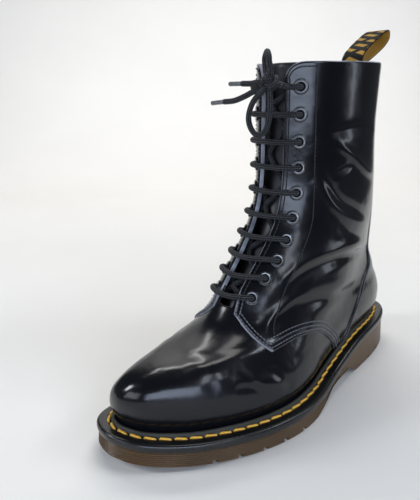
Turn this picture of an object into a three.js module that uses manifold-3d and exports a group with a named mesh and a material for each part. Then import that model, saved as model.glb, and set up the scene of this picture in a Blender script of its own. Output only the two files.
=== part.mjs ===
// Combat boot, left foot. Millimetres, +Z up, toe towards -Y, outer side of the foot towards +X.
// The origin is on the floor, under the middle of the sole's box.
import * as THREE from 'three';
import { mergeVertices } from 'three/addons/utils/BufferGeometryUtils.js';
import Module from 'manifold-3d';

const wasm = await Module();
wasm.setup();

// Driving dimensions
const SOLE_LENGTH = 305;
const SOLE_WIDTH = 110;
const FORE_HEIGHT = 16.5;         // floor to the top of the welt at the ball
const HEEL_HEIGHT = 30.5;         // floor to the top of the welt at the heel
const TOE_SPRING = 5.5;
const COLLAR_HEIGHT = 252;
const LEG_AXIS_X = -3.3;          // the leg stands over the heel, inside of the ball
const CLEARANCE = 0.3;            // gap between pieces that meet

const LIP_HEIGHT = 6;             // welt strip, outer face
const LIP_ROUND = 1.3;
const STITCH_INSET = 8.2;         // stitch channel, from the outline
const CHANNEL_WIDTH = 2;
const CHANNEL_DEPTH = 1;
const BAND_WIDTH = 2.7;           // raised band against the upper
const BAND_HEIGHT = 2.2;
const FEATHER_INSET = 12.8;       // outline to the foot of the upper

const RIB_COUNT = 7;              // moulded ribs round the forepart
const RIB_DEPTH = 0.5;
const SOLE_DRAFT = 1.2;           // the sole's side leans in under the lip
const WAIST_LIFT = 10;            // recess in front of the heel
const LUG_DEPTH = 2.5;
const LUG_GAP = 3.5;
const HEEL_BEVEL = 5;

const LEATHER = 1.8;              // wall of the upper
const LAP = 1.2;                  // how far a panel laid over another stands out
const INSOLE_THICKNESS = 3;

const FACING_GAP = 19;            // open throat between the facings
const FACING_CORNER = 12;
const THROAT_REACH = 16;          // how far the throat's cut reaches in and out
const EYELET_ROWS = 10;
const EYELET_PITCH = 18.4;        // up the leg
const EYELET_PITCH_FOOT = 16.6;   // the lowest rows, over the instep
const EYELET_ROWS_FOOT = 4;
const EYELET_TOP = 15.8;          // collar to the top row
const EYELET_SPREAD = 18.4;       // leg axis to an eyelet
const EYELET_OUTER = 5.4;
const EYELET_HOLE = 3.1;
const EYELET_FLANGE = 0.8;
const EYELET_BARREL = 0.7;

const LACE_DIAMETER = 4;
const TONGUE_THICKNESS = 2.4;
const TONGUE_WIDTH = 46;
const TONGUE_DEPTH = 8.9;         // throat surface to the tongue, under the crossings
const TONGUE_DROP = 1;            // below the collar

const LOOP_WIDTH = 19;
const LOOP_THICKNESS = 1.3;

const AROUND = 44;                // divisions round the boot

const mix = (a, b, f) => a + (b - a) * f;
const smooth = (f) => {
  const c = Math.min(Math.max(f, 0), 1);
  return c * c * (3 - 2 * c);
};
const vec = (x, y, z) => new THREE.Vector3(x, y, z);

// Materials
const finish = (color, roughness, metalness = 0) =>
  new THREE.MeshStandardMaterial({ color, roughness, metalness });
const leather = finish(0x0b0c10, 0.18);
const leatherInside = finish(0x1b1a19, 0.7);
const rubber = finish(0x3d2f22, 0.35);
const weltRubber = finish(0x101010, 0.3);
const cord = finish(0x0d0d0f, 0.75);
const blackMetal = finish(0x15161a, 0.3, 0.8);
const webbing = finish(0x17130c, 0.85);
const clearPlastic = finish(0x9a9da0, 0.3);

const group = new THREE.Group();
function add(name, geometry, material) {
  const mesh = new THREE.Mesh(geometry, material);
  mesh.name = name;
  group.add(mesh);
  return mesh;
}

// Closed meshes and solids
function meshFrom(points, faces) {
  const geometry = new THREE.BufferGeometry();
  geometry.setAttribute('position', new THREE.Float32BufferAttribute(points.flatMap((p) => [p.x, p.y, p.z]), 3));
  geometry.setIndex(faces.flat());
  return geometry;
}

function bare(geometry) {
  const copy = geometry.clone();
  copy.deleteAttribute('normal');
  copy.deleteAttribute('uv');
  return mergeVertices(copy, 1e-4);
}

function solid(geometry) {
  const merged = bare(geometry);
  return new wasm.Manifold(new wasm.Mesh({
    numProp: 3,
    vertProperties: new Float32Array(merged.attributes.position.array),
    triVerts: new Uint32Array(merged.index.array),
  }));
}

function geometryOf(body) {
  const mesh = body.getMesh();
  const geometry = new THREE.BufferGeometry();
  geometry.setAttribute('position', new THREE.BufferAttribute(mesh.vertProperties, 3));
  geometry.setIndex(new THREE.BufferAttribute(mesh.triVerts, 1));
  geometry.computeVertexNormals();
  return geometry;
}

const joined = (bodies) => bodies.reduce((sum, body) => sum.add(body));

// A closed mesh through rows of points that all run counter-clockwise, seen from where the rows lead
function rowFaces(rows, columns, closedRows) {
  const faces = [];
  const last = closedRows ? rows : rows - 1;
  for (let r = 0; r < last; r += 1) {
    for (let c = 0; c < columns; c += 1) {
      const a = r * columns + c;
      const b = r * columns + ((c + 1) % columns);
      const up = ((r + 1) % rows) * columns;
      faces.push([a, b, up + ((c + 1) % columns)], [a, up + ((c + 1) % columns), up + c]);
    }
  }
  return faces;
}

// Cap a ring whose halves mirror each other, by strips from side to side
function ladder(start, columns, facesUp) {
  const faces = [];
  for (let c = 0; c < columns / 2; c += 1) {
    const a = start + c;
    const b = start + c + 1;
    const d = start + ((columns - c) % columns);
    const e = start + columns - c - 1;
    const quad = [];
    if (a !== d) quad.push([a, b, d]);
    if (b !== e) quad.push([b, e, d]);
    quad.forEach((f) => faces.push(facesUp ? f : [f[0], f[2], f[1]]));
  }
  return faces;
}

function tube(rows) {
  const columns = rows[0].length;
  const faces = rowFaces(rows.length, columns, false);
  faces.push(...ladder(0, columns, false), ...ladder((rows.length - 1) * columns, columns, true));
  return meshFrom(rows.flat(), faces);
}

const ringOf = (rows) => meshFrom(rows.flat(), rowFaces(rows.length, rows[0].length, true));

function prism(side, width, shape) {
  // A side view (y, z) drawn out across the boot
  const outline = new THREE.Shape(shape.map(([y, z]) => new THREE.Vector2(y, z)));
  const geometry = new THREE.ExtrudeGeometry(outline, { depth: width, bevelEnabled: false, curveSegments: 8 });
  geometry.applyMatrix4(new THREE.Matrix4().makeBasis(vec(0, 1, 0), vec(0, 0, 1), vec(1, 0, 0)));
  return geometry.translate(side, 0, 0);
}

// Outline of the sole: half widths as shares of the sole's width, along the sole's length
const OUTLINE = [
  { along: -0.5, outer: -0.187, inner: -0.187 },
  { along: -0.491, outer: -0.075, inner: -0.318 },
  { along: -0.475, outer: 0.018, inner: -0.386 },
  { along: -0.448, outer: 0.108, inner: -0.432 },
  { along: -0.39, outer: 0.24, inner: -0.465 },
  { along: -0.325, outer: 0.34, inner: -0.482 },
  { along: -0.245, outer: 0.432, inner: -0.5 },
  { along: -0.165, outer: 0.488, inner: -0.474 },
  { along: -0.1, outer: 0.5, inner: -0.432 },
  { along: -0.025, outer: 0.474, inner: -0.377 },
  { along: 0.065, outer: 0.416, inner: -0.338 },
  { along: 0.19, outer: 0.367, inner: -0.345 },
  { along: 0.31, outer: 0.333, inner: -0.364 },
  { along: 0.395, outer: 0.283, inner: -0.342 },
  { along: 0.45, outer: 0.217, inner: -0.28 },
  { along: 0.484, outer: 0.131, inner: -0.184 },
  { along: 0.5, outer: -0.03, inner: -0.03 },
];

const outlineCurve = (() => {
  const spot = (row, side) => vec(row[side] * SOLE_WIDTH, row.along * SOLE_LENGTH, 0);
  const outer = OUTLINE.map((row) => spot(row, 'outer'));
  const inner = OUTLINE.slice(1, -1).reverse().map((row) => spot(row, 'inner'));
  return new THREE.CatmullRomCurve3([...outer, ...inner], true, 'centripetal');
})();

// u runs from 0 at the toe along the outer side to 0.5 at the heel, and back along the inner side
function edge(u) {
  const turn = u - Math.floor(u);
  const point = outlineCurve.getPoint(turn);
  const tangent = outlineCurve.getTangent(turn);
  return { point, out: vec(tangent.y, -tangent.x, 0), along: point.y / SOLE_LENGTH + 0.5, u: turn };
}

const springAt = (y) => TOE_SPRING * Math.max(0, -y / SOLE_LENGTH - 0.188) ** 2 / 0.087;
const lipAt = (y) => mix(FORE_HEIGHT, HEEL_HEIGHT, smooth(y / SOLE_LENGTH / 0.328 + 0.073)) + springAt(y);

function insetPoint(u, inset, heightOf) {
  const e = edge(u);
  const point = e.point.clone().addScaledVector(e.out, -inset);
  return point.setZ(heightOf(point.y, e.along));
}

const ROUND = Array.from({ length: AROUND }, (_, i) => i / AROUND);
const insetRow = (inset, heightOf) => ROUND.map((u) => insetPoint(u, inset, heightOf));

// Rings of the upper from the feather edge to the collar. Low rings follow the sole's outline at an inset
// and a rise above the welt; the others are drawn between a front and a back point, with half widths.
// Lengths are shares: y of SOLE_LENGTH, z of COLLAR_HEIGHT, half widths of SOLE_WIDTH.
const RINGS = [
  { own: 0, inset: 1, insetHeel: 1, rise: -1 },
  { own: 0, inset: 1, insetHeel: 1, rise: 0.5 },
  { own: 0, inset: 0.78, insetHeel: 0.74, rise: 1.8 },
  { own: 0.15, inset: 0.72, insetHeel: 0.62, rise: 3.8, frontY: -0.455, frontZ: 0.175, backY: 0.455, backZ: 0.205,
    fore: 0.4, heel: 0.31 },
  { own: 0.4, inset: 0.95, insetHeel: 0.65, rise: 5.4, frontY: -0.424, frontZ: 0.22, backY: 0.448, backZ: 0.245,
    fore: 0.385, heel: 0.31 },
  { own: 0.7, inset: 1.25, insetHeel: 0.8, rise: 6.8, frontY: -0.368, frontZ: 0.243, backY: 0.44, backZ: 0.283,
    fore: 0.372, heel: 0.305 },
  { own: 0.9, inset: 1.5, insetHeel: 0.9, rise: 7.6, frontY: -0.297, frontZ: 0.262, backY: 0.43, backZ: 0.327,
    fore: 0.36, heel: 0.3 },
  { own: 1, frontY: -0.224, frontZ: 0.302, backY: 0.42, backZ: 0.376, fore: 0.35, heel: 0.295 },
  { own: 1, frontY: -0.162, frontZ: 0.392, backY: 0.412, backZ: 0.428, fore: 0.342, heel: 0.3 },
  { own: 1, frontY: -0.099, frontZ: 0.475, backY: 0.404, backZ: 0.484, fore: 0.335, heel: 0.315 },
  { own: 1, frontY: -0.05, frontZ: 0.556, backY: 0.394, backZ: 0.556, fore: 0.33, heel: 0.33 },
  { own: 1, frontY: -0.024, frontZ: 0.65, backY: 0.384, backZ: 0.643, fore: 0.33, heel: 0.335 },
  { own: 1, frontY: -0.017, frontZ: 0.82, backY: 0.366, backZ: 0.82, fore: 0.335, heel: 0.34 },
  { own: 1, frontY: -0.017, frontZ: 1, backY: 0.376, backZ: 1, fore: 0.34, heel: 0.345 },
  { own: 1, frontY: -0.017, frontZ: 1.05, backY: 0.378, backZ: 1.05, fore: 0.34, heel: 0.345 },
];
const LAST_RING = RINGS.length - 1;
const COLLAR_RING = LAST_RING - 1;
const STEPS = [1, 1, 1, 2, 2, 2, 2, 1, 2, 2, 1, 1, 1, 1];

function ringPoint(ring, u) {
  const e = edge(u);
  const rear = smooth((e.along - 0.45) / 0.4);
  const low = e.point.clone().addScaledVector(e.out, -FEATHER_INSET * mix(ring.inset ?? 1, ring.insetHeel ?? 1, rear));
  low.setZ(lipAt(low.y) + (ring.rise ?? 0) * LIP_HEIGHT);
  if (!ring.own) return low;
  const side = e.u < 0.5 ? 1 : -1;
  const share = Math.min(Math.max(e.along, 0), 1);
  const blunt = mix(0.5, mix(0.5, 0.38, ring.own === 1 ? 0 : 1), smooth(e.along * 2 - 1));
  const half = mix(ring.fore, ring.heel, rear) * SOLE_WIDTH * (4 * share * (1 - share)) ** blunt;
  const high = vec(
    LEG_AXIS_X + side * half,
    mix(ring.frontY, ring.backY, share) * SOLE_LENGTH,
    mix(ring.frontZ, ring.backZ, share) * COLLAR_HEIGHT,
  );
  return low.lerp(high, ring.own);
}

// A meridian of the upper: one line from the feather edge to the collar at a place u round the boot
const meridians = new Map();
function meridian(u) {
  const key = (u - Math.floor(u)).toFixed(6);
  if (!meridians.has(key)) {
    meridians.set(key, new THREE.CatmullRomCurve3(RINGS.map((ring) => ringPoint(ring, u)), false, 'centripetal'));
  }
  return meridians.get(key);
}

const onUpper = (u, t) => meridian(u).getPoint(Math.min(Math.max(t / LAST_RING, 0), 1));
const NUDGE = 1 / 512;
function outward(u, t) {
  const round = onUpper(u + NUDGE, t).sub(onUpper(u - NUDGE, t));
  const rise = onUpper(u, t + 0.05).sub(onUpper(u, t - 0.05));
  return round.cross(rise).normalize();
}
const offUpper = (u, t, distance) => onUpper(u, t).addScaledVector(outward(u, t), distance);

const LEVELS = STEPS.flatMap((steps, ring) => Array.from({ length: steps }, (_, i) => ring + i / steps));
LEVELS.push(LAST_RING);
const INNER_LEVELS = Array.from({ length: LAST_RING + 1 }, (_, ring) => ring);

// The upper's form grown or shrunk by a distance, which fades to nothing at the feather edge when it is grown
function form(distance) {
  const hollow = distance < 0;
  const rows = (hollow ? INNER_LEVELS : LEVELS).map((t) => ROUND.map((u) => offUpper(u, t, hollow ? distance : distance * smooth(t - 1))));
  if (hollow) {
    rows.unshift(rows[0].map((p) => p.clone().setZ(p.z - 2 * LIP_HEIGHT)));
    rows.push(rows[rows.length - 1].map((p) => p.clone().setZ(p.z + LIP_HEIGHT)));
  }
  return solid(tube(rows));
}

// u at a sideways distance from the leg's axis, at the front or, from the heel, at the back
function facingU(t, distance, start = 0) {
  let low = start;
  let high = 0.25;
  for (let i = 0; i < 24; i += 1) {
    const half = (low + high) / 2;
    if (onUpper(half, t).x - LEG_AXIS_X < distance) low = half;
    else high = half;
  }
  return low;
}

// Panels, drawn in side view as shares of SOLE_LENGTH and COLLAR_HEIGHT
const QUARTER = [
  [-0.192, 0.6], [-0.192, 0.288], [-0.18, 0.262], [-0.165, 0.243], [-0.135, 0.249], [-0.099, 0.259], [-0.06, 0.268],
  [-0.031, 0.269], [0.002, 0.261], [0.043, 0.236], [0.076, 0.204], [0.097, 0.168], [0.115, 0.11], [0.12, 0],
];
const COUNTER = [
  [0.16, 0], [0.164, 0.15], [0.197, 0.193], [0.221, 0.22], [0.249, 0.248], [0.281, 0.274], [0.318, 0.307],
  [0.365, 0.336], [0.388, 0.37], [0.372, 0.45], [0.357, 0.6], [0.342, 0.8], [0.352, 1.2],
];
const REACH = SOLE_WIDTH;
const sized = ([y, z]) => [y * SOLE_LENGTH, z * COLLAR_HEIGHT];
const behind = (line) => [...line.map(sized), sized([1, line[line.length - 1][1]]), sized([1, line[0][1]])];

const quarterPrism = solid(prism(-REACH, 2 * REACH, [
  sized([QUARTER[0][0], 1.2]), ...QUARTER.map(sized), sized([1, 0]), sized([1, 1.2]),
]));
const counterPrism = solid(prism(-REACH, 2 * REACH, behind(COUNTER)));

// Eyelet places: even steps down the facing line from the top row, which closes in over the instep
const spreadShare = (t) => mix(mix(0.84, 1.06, smooth((t - 7.5) / 1.4)), 1, smooth((t - 9) / 2));
function facingPlaces() {
  const line = [];
  for (let t = LAST_RING; t >= 6; t -= 1 / 32) {
    line.push({ t, u: facingU(t, EYELET_SPREAD * spreadShare(t)) });
  }
  const places = [];
  let previous = null;
  let run = 0;
  let next = null;
  for (const step of line) {
    const point = onUpper(step.u, step.t);
    if (next === null && point.z <= COLLAR_HEIGHT - EYELET_TOP) next = 0;
    if (next !== null) {
      run += previous && next > 0 ? previous.distanceTo(point) : 0;
      if (run >= next) {
        places.push(step);
        if (places.length === 1) run = 0;
        next += EYELET_ROWS - places.length > EYELET_ROWS_FOOT ? EYELET_PITCH : EYELET_PITCH_FOOT;
      }
    }
    previous = point;
    if (places.length === EYELET_ROWS) break;
  }
  return places.reverse();
}
const EYELETS = facingPlaces();
const eyeletU = (row, side) => (side > 0 ? EYELETS[row].u : 1 - EYELETS[row].u);

// The open throat: a slot of the facing gap that follows the front from the vamp to past the collar
const THROAT_BASE = EYELETS[0].t - 0.22;
function slot(from, to, gapAt, above, below) {
  const rows = [];
  const steps = 12;
  for (let i = 0; i <= steps; i += 1) {
    const t = mix(from, to, i / steps);
    const front = onUpper(0, t);
    const normal = outward(0, t).setX(0).normalize();
    const half = gapAt(t) / 2;
    const top = front.clone().addScaledVector(normal, above);
    const base = front.clone().addScaledVector(normal, -below);
    rows.push([
      vec(LEG_AXIS_X - half, base.y, base.z), vec(LEG_AXIS_X - half, top.y, top.z),
      vec(LEG_AXIS_X + half, top.y, top.z), vec(LEG_AXIS_X + half, base.y, base.z),
    ]);
  }
  return solid(tube(rows));
}
const gapAt = (t) => FACING_GAP * mix(0.8, 1, smooth((t - THROAT_BASE) / 3));
const throat = slot(THROAT_BASE, LAST_RING, gapAt, THROAT_REACH, THROAT_REACH);
// Over the vamp the quarters' corners are rounded away from the slot
const FLARE = [THROAT_BASE - 0.5, THROAT_BASE + 0.2];
const flareAt = (t) => FACING_GAP * mix(1.7, 0.8, smooth((t - FLARE[0]) / (FLARE[1] - FLARE[0])));
const flare = slot(...FLARE, flareAt, THROAT_REACH, THROAT_REACH / 2);

// Rounded front corner of each facing at the collar
function cornerCut(side) {
  const edgeX = gapAt(LAST_RING) / 2;
  const low = COLLAR_HEIGHT - FACING_CORNER;
  const arc = Array.from({ length: 7 }, (_, i) => {
    const angle = Math.PI * (1 - i / 12);
    return [edgeX + FACING_CORNER * (1 + Math.cos(angle)), low + FACING_CORNER * Math.sin(angle)];
  });
  const points = [[edgeX - 1, low], ...arc, [edgeX + FACING_CORNER, COLLAR_HEIGHT + 1], [edgeX - 1, COLLAR_HEIGHT + 1]];
  const shape = new THREE.Shape(points.map(([x, z]) => new THREE.Vector2(side * x, z)));
  const geometry = new THREE.ExtrudeGeometry(shape, { depth: 0.15 * SOLE_LENGTH, bevelEnabled: false });
  geometry.applyMatrix4(new THREE.Matrix4().makeBasis(vec(1, 0, 0), vec(0, 0, 1), vec(0, -1, 0)));
  return geometry.translate(LEG_AXIS_X, 0.07 * SOLE_LENGTH, 0);
}

function standOn(geometry, point, normal) {
  const turn = new THREE.Quaternion().setFromUnitVectors(vec(0, 0, 1), normal);
  return geometry.applyQuaternion(turn).translate(point.x, point.y, point.z);
}

// The eyelet's seat in the leather: a hole with a flat face round it on each side
const SEAT_OUTER = LAP;
const SEAT_INNER = -LEATHER - 0.6;
function seat(row, side) {
  const u = eyeletU(row, side);
  const hole = EYELET_HOLE + EYELET_BARREL + CLEARANCE;
  const face = EYELET_OUTER + CLEARANCE;
  const reach = 5;
  const profile = [
    [0, -reach], [face, -reach], [face, SEAT_INNER], [hole, SEAT_INNER], [hole, SEAT_OUTER], [face, SEAT_OUTER],
    [face, reach], [0, reach],
  ].map(([r, z]) => new THREE.Vector2(r, z));
  const turned = new THREE.LatheGeometry(profile, 8).rotateX(Math.PI / 2);
  return solid(standOn(turned, onUpper(u, EYELETS[row].t), outward(u, EYELETS[row].t)));
}

function upperSolid() {
  const vamp = form(0);
  const quarters = form(LAP).intersect(quarterPrism).subtract(flare);
  const counter = form(2 * LAP).intersect(counterPrism);
  const trim = new THREE.BoxGeometry(2 * REACH, 2 * SOLE_LENGTH, COLLAR_HEIGHT);
  trim.translate(0, 0, COLLAR_HEIGHT * 1.5);
  let shell = joined([vamp, quarters, counter]).subtract(form(-LEATHER)).subtract(throat).subtract(solid(trim));
  for (const side of [-1, 1]) {
    shell = shell.subtract(solid(cornerCut(side)));
    for (let row = 0; row < EYELET_ROWS; row += 1) shell = shell.subtract(seat(row, side));
  }
  return shell;
}

// Outsole
const SOLE_TOP = LIP_HEIGHT + CLEARANCE;
function outsole() {
  const rows = [insetRow(0.3 + LUG_DEPTH * 0.3, (y) => springAt(y))];
  const layers = 2 * RIB_COUNT + 1;
  for (let k = 0; k <= layers; k += 1) {
    const share = mix(0.08, 1, k / layers);
    rows.push(ROUND.map((u) => {
      const e = edge(u);
      const ribs = RIB_DEPTH * (1 - smooth((e.along - 0.5) / 0.2)) * (k % 2);
      const inset = mix(0.2, SOLE_DRAFT, share) + ribs;
      return insetPoint(u, inset, (y) => mix(springAt(y), lipAt(y) - SOLE_TOP, share));
    }));
  }
  let body = solid(tube(rows));
  const waist = [
    [-0.075, -0.03], [-0.05, 0.0035], [0.0, 0.022], [0.045, 0.037], [0.155, 0.04], [0.207, -0.001], [0.207, -0.03],
  ].map(([y, z]) => [y * SOLE_LENGTH, z * WAIST_LIFT / 0.04]);
  body = body.subtract(solid(prism(-REACH, 2 * REACH, waist)));
  const bevel = [[0.5, -0.01], [0.5 - HEEL_BEVEL / SOLE_LENGTH, -0.001], [0.51, 1.2 * HEEL_BEVEL / COLLAR_HEIGHT],
    [0.52, -0.01]].map(sized);
  body = body.subtract(solid(prism(-REACH, 2 * REACH, bevel)));
  for (const at of [-0.4, -0.348, -0.295, -0.236, -0.18, -0.118, 0.29, 0.355, 0.42]) {
    for (const side of [-1, 1]) {
      const channel = new THREE.BoxGeometry(0.3 * SOLE_WIDTH, LUG_GAP, 2 * LUG_DEPTH);
      const y = at * SOLE_LENGTH;
      const reach = (side > 0 ? 0.5 : 0.46) * SOLE_WIDTH * (Math.abs(at) > 0.25 ? 0.8 : 1);
      channel.translate(side * reach, y, springAt(y));
      body = body.subtract(solid(channel));
    }
  }
  return body;
}

// Welt: a strip whose section holds the lip, the stitch channel and the band against the upper
function welt() {
  const channel = STITCH_INSET - CHANNEL_WIDTH / 2;
  const band = FEATHER_INSET - CLEARANCE;
  const section = [
    [band, -LIP_HEIGHT], [1, -LIP_HEIGHT], [0, 0.7 - LIP_HEIGHT], [0, -LIP_ROUND], [LIP_ROUND, 0],
    [channel, 0], [channel + 0.3, -CHANNEL_DEPTH], [channel + CHANNEL_WIDTH - 0.3, -CHANNEL_DEPTH],
    [channel + CHANNEL_WIDTH, 0], [band - BAND_WIDTH, 0.5], [band - BAND_WIDTH + 0.4, BAND_HEIGHT], [band, BAND_HEIGHT],
  ];
  return ringOf(section.map(([inset, rise]) => insetRow(inset, (y) => lipAt(y) + rise)));
}

function insole() {
  const inset = FEATHER_INSET + LEATHER + 2 * CLEARANCE;
  const base = (y) => lipAt(y) - LIP_HEIGHT + CLEARANCE;
  return tube([insetRow(inset, base), insetRow(inset, (y) => base(y) + INSOLE_THICKNESS)]);
}

// Tongue: a curved sheet under the throat, from inside the vamp to above the collar
function tongue() {
  const depthAt = (t) => mix(LEATHER + 2 * CLEARANCE, TONGUE_DEPTH, smooth((t - THROAT_BASE + 0.5) / 0.5));
  const across = 8;
  const up = 18;
  const from = THROAT_BASE - 0.6;
  const to = COLLAR_RING - TONGUE_DROP / (0.18 * COLLAR_HEIGHT);
  const rows = [];
  for (let j = 0; j <= up; j += 1) {
    const t = mix(from, to, (j / up) ** 1.4);
    const half = TONGUE_WIDTH / 2 * mix(0.8, 1, smooth((t - THROAT_BASE) / 3)) * (1 - 0.2 * smooth((t - to + 0.2) / 0.2));
    const reach = facingU(t, half);
    const sheet = (extra) => Array.from({ length: across + 1 }, (_, i) =>
      offUpper(mix(-reach, reach, i / across), t, -depthAt(t) - extra));
    rows.push([...sheet(0), ...sheet(TONGUE_THICKNESS).reverse()]);
  }
  return rows;
}

function sheetSolid(rows) {
  const columns = rows[0].length;
  const faces = rowFaces(rows.length, columns, false);
  const cap = (start, facesUp) => {
    for (let c = 0; c < columns / 2 - 1; c += 1) {
      const [a, b, d, e] = [start + c, start + c + 1, start + columns - 1 - c, start + columns - 2 - c];
      [[a, b, d], [b, e, d]].forEach((f) => faces.push(facesUp ? f : [f[0], f[2], f[1]]));
    }
  };
  cap(0, false);
  cap((rows.length - 1) * columns, true);
  return meshFrom(rows.flat(), faces);
}

// A rolled eyelet: outer flange, barrel and inner flange, as one turned ring
function eyelet(row, side) {
  const u = eyeletU(row, side);
  const outer = SEAT_OUTER + CLEARANCE;
  const inner = SEAT_INNER - CLEARANCE;
  const barrel = EYELET_HOLE + EYELET_BARREL;
  const profile = [
    [EYELET_HOLE, inner - EYELET_FLANGE], [EYELET_OUTER - 0.4, inner - EYELET_FLANGE], [EYELET_OUTER - 0.4, inner],
    [barrel, inner], [barrel, outer], [EYELET_OUTER, outer], [EYELET_OUTER - 0.6, outer + EYELET_FLANGE],
    [EYELET_HOLE, outer + 0.6 * EYELET_FLANGE], [EYELET_HOLE, inner - EYELET_FLANGE],
  ].map(([r, z]) => new THREE.Vector2(r, z));
  const turned = new THREE.LatheGeometry(profile, 8).rotateX(Math.PI / 2);
  return standOn(turned, onUpper(u, EYELETS[row].t), outward(u, EYELETS[row].t));
}

function cordTube(points, steps, sides = 8, radius = LACE_DIAMETER / 2) {
  const section = new THREE.Shape(Array.from({ length: sides }, (_, i) => {
    const angle = (i / sides) * 2 * Math.PI;
    return new THREE.Vector2(radius * Math.cos(angle), radius * Math.sin(angle));
  }));
  const extrudePath = new THREE.CatmullRomCurve3(points, false, 'centripetal');
  return new THREE.ExtrudeGeometry(section, { steps, extrudePath, curveSegments: 1 });
}

// A round strand through given places, its sections turned about one reference direction
function strand(points, reference, sides = 6, radius = LACE_DIAMETER / 2) {
  const heading = (i) => points[i + 1].clone().sub(points[i]).normalize();
  const rows = points.map((point, i) => {
    const tangent = vec(0, 0, 0);
    if (i > 0) tangent.add(heading(i - 1));
    if (i < points.length - 1) tangent.add(heading(i));
    tangent.normalize();
    const across = reference.clone().cross(tangent).normalize();
    const up = tangent.clone().cross(across);
    return Array.from({ length: sides }, (_, k) => {
      const angle = (k / sides) * 2 * Math.PI;
      return point.clone().addScaledVector(across, radius * Math.cos(angle)).addScaledVector(up, radius * Math.sin(angle));
    });
  });
  return tube(rows);
}

// Lace: a bar over the throat in each row, and a crossing under it from each row to the next but one
const UNDER = -(TONGUE_DEPTH - LACE_DIAMETER / 2 - 0.6);
const climb = (t) => onUpper(0, t + 0.05).sub(onUpper(0, t - 0.05)).normalize();
const OVER = LAP + CLEARANCE + EYELET_FLANGE + LACE_DIAMETER / 2 + 1;
function bar(row) {
  const { t, u } = EYELETS[row];
  const stops = [
    [1, UNDER], [1, 2.2], [0.96, 0.75 * OVER], [0.84, 0.97 * OVER], [0.6, OVER], [0, OVER * 0.78],
    [-0.6, OVER], [-0.84, 0.97 * OVER], [-0.96, 0.75 * OVER], [-1, 2.2], [-1, UNDER],
  ];
  return strand(stops.map(([across, lift]) => offUpper(across * u, t, lift)), climb(t));
}
function crossing(fromRow, toRow, side) {
  const stops = [0, 0.15, 0.38, 0.62, 0.85, 1];
  return strand(stops.map((share) => {
    const across = side * (1 - 2 * share);
    const t = mix(EYELETS[fromRow].t, EYELETS[toRow].t, share);
    const u = mix(EYELETS[fromRow].u, EYELETS[toRow].u, share);
    return offUpper(across * u, t, UNDER);
  }), outward(0, EYELETS[fromRow].t));
}
// On the top row each side runs to the knot
function topBar(side, direction) {
  const { t, u } = EYELETS[EYELET_ROWS - 1];
  const stops = [[1, UNDER], [1, 2.2], [0.96, 0.75 * OVER], [0.84, 0.97 * OVER], [0.65, OVER]];
  const start = stops.map(([across, lift]) => offUpper(side * across * u, t, lift));
  return strand([...start, knotExit(direction, 2.5), knotExit(direction)], climb(t));
}
function lace() {
  const bodies = [solid(topBar(1, [1, 0.1, -0.2])), solid(topBar(-1, [-1, 0.5, 0.3]))];
  for (let row = 0; row < EYELET_ROWS - 1; row += 1) bodies.push(solid(bar(row)));
  bodies.push(solid(crossing(0, 1, 1)));
  bodies.push(solid(crossing(EYELET_ROWS - 2, EYELET_ROWS - 1, EYELET_ROWS % 2 ? 1 : -1)));
  for (let row = 0; row + 2 < EYELET_ROWS; row += 1) bodies.push(solid(crossing(row, row + 2, row % 2 ? 1 : -1)));
  return joined(bodies);
}

// Pull loop: webbing folded to a leaning loop, its two ends together down the inside of the collar
const LOOP_LEANING = [[0, -13], [0, 1], [7, 4], [20, 10], [31, 16], [37, 22], [36, 27], [29, 26], [17, 20.5], [4, 13.5],
  [-5, 7], [-7, 2], [-4, -3], [-2.2, -6.5], [-2.2, -13]];
function heelLoop() {
  const corner = onUpper(facingU(COLLAR_RING, LOOP_WIDTH / 2, 0.5), COLLAR_RING - 0.3);
  const inside = corner.y - LEATHER - CLEARANCE - LOOP_THICKNESS / 2 - 1;
  const path = new THREE.CatmullRomCurve3(
    LOOP_LEANING.map(([back, up]) => vec(0, inside + back, COLLAR_HEIGHT + up)), false, 'centripetal');
  const steps = 28;
  const rows = [];
  for (let i = 0; i <= steps; i += 1) {
    const point = path.getPoint(i / steps);
    const tangent = path.getTangent(i / steps);
    const normal = vec(0, -tangent.z, tangent.y).multiplyScalar(LOOP_THICKNESS / 2);
    const corner = (side, face) => point.clone().addScaledVector(normal, face).setX(LEG_AXIS_X + side * LOOP_WIDTH / 2);
    rows.push([corner(-1, 1), corner(1, 1), corner(1, -1), corner(-1, -1)]);
  }
  return tube(rows);
}

// The bow on the top row: a knot, a narrow loop that stands up, a hanging loop and two ends with their tips.
// Each route leaves the knot in a direction of its own; a loop comes back to it in another.
const KNOT_HALF = vec(7.5, 5.5, 7);
const KNOT_OUT = 10.2;            // the knot's middle in front of the throat
const KNOT_ASIDE = 5.3;
const KNOT_LIFT = 3.2;
const KNOT = onUpper(0, EYELETS[EYELET_ROWS - 1].t).add(vec(KNOT_ASIDE, -KNOT_OUT, KNOT_LIFT));
function knotExit(direction, beyond = 0.7) {
  const ray = vec(...direction);
  const reach = 1 / ray.clone().divide(KNOT_HALF).length();
  return KNOT.clone().addScaledVector(ray, reach).addScaledVector(ray.normalize(), beyond);
}
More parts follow.
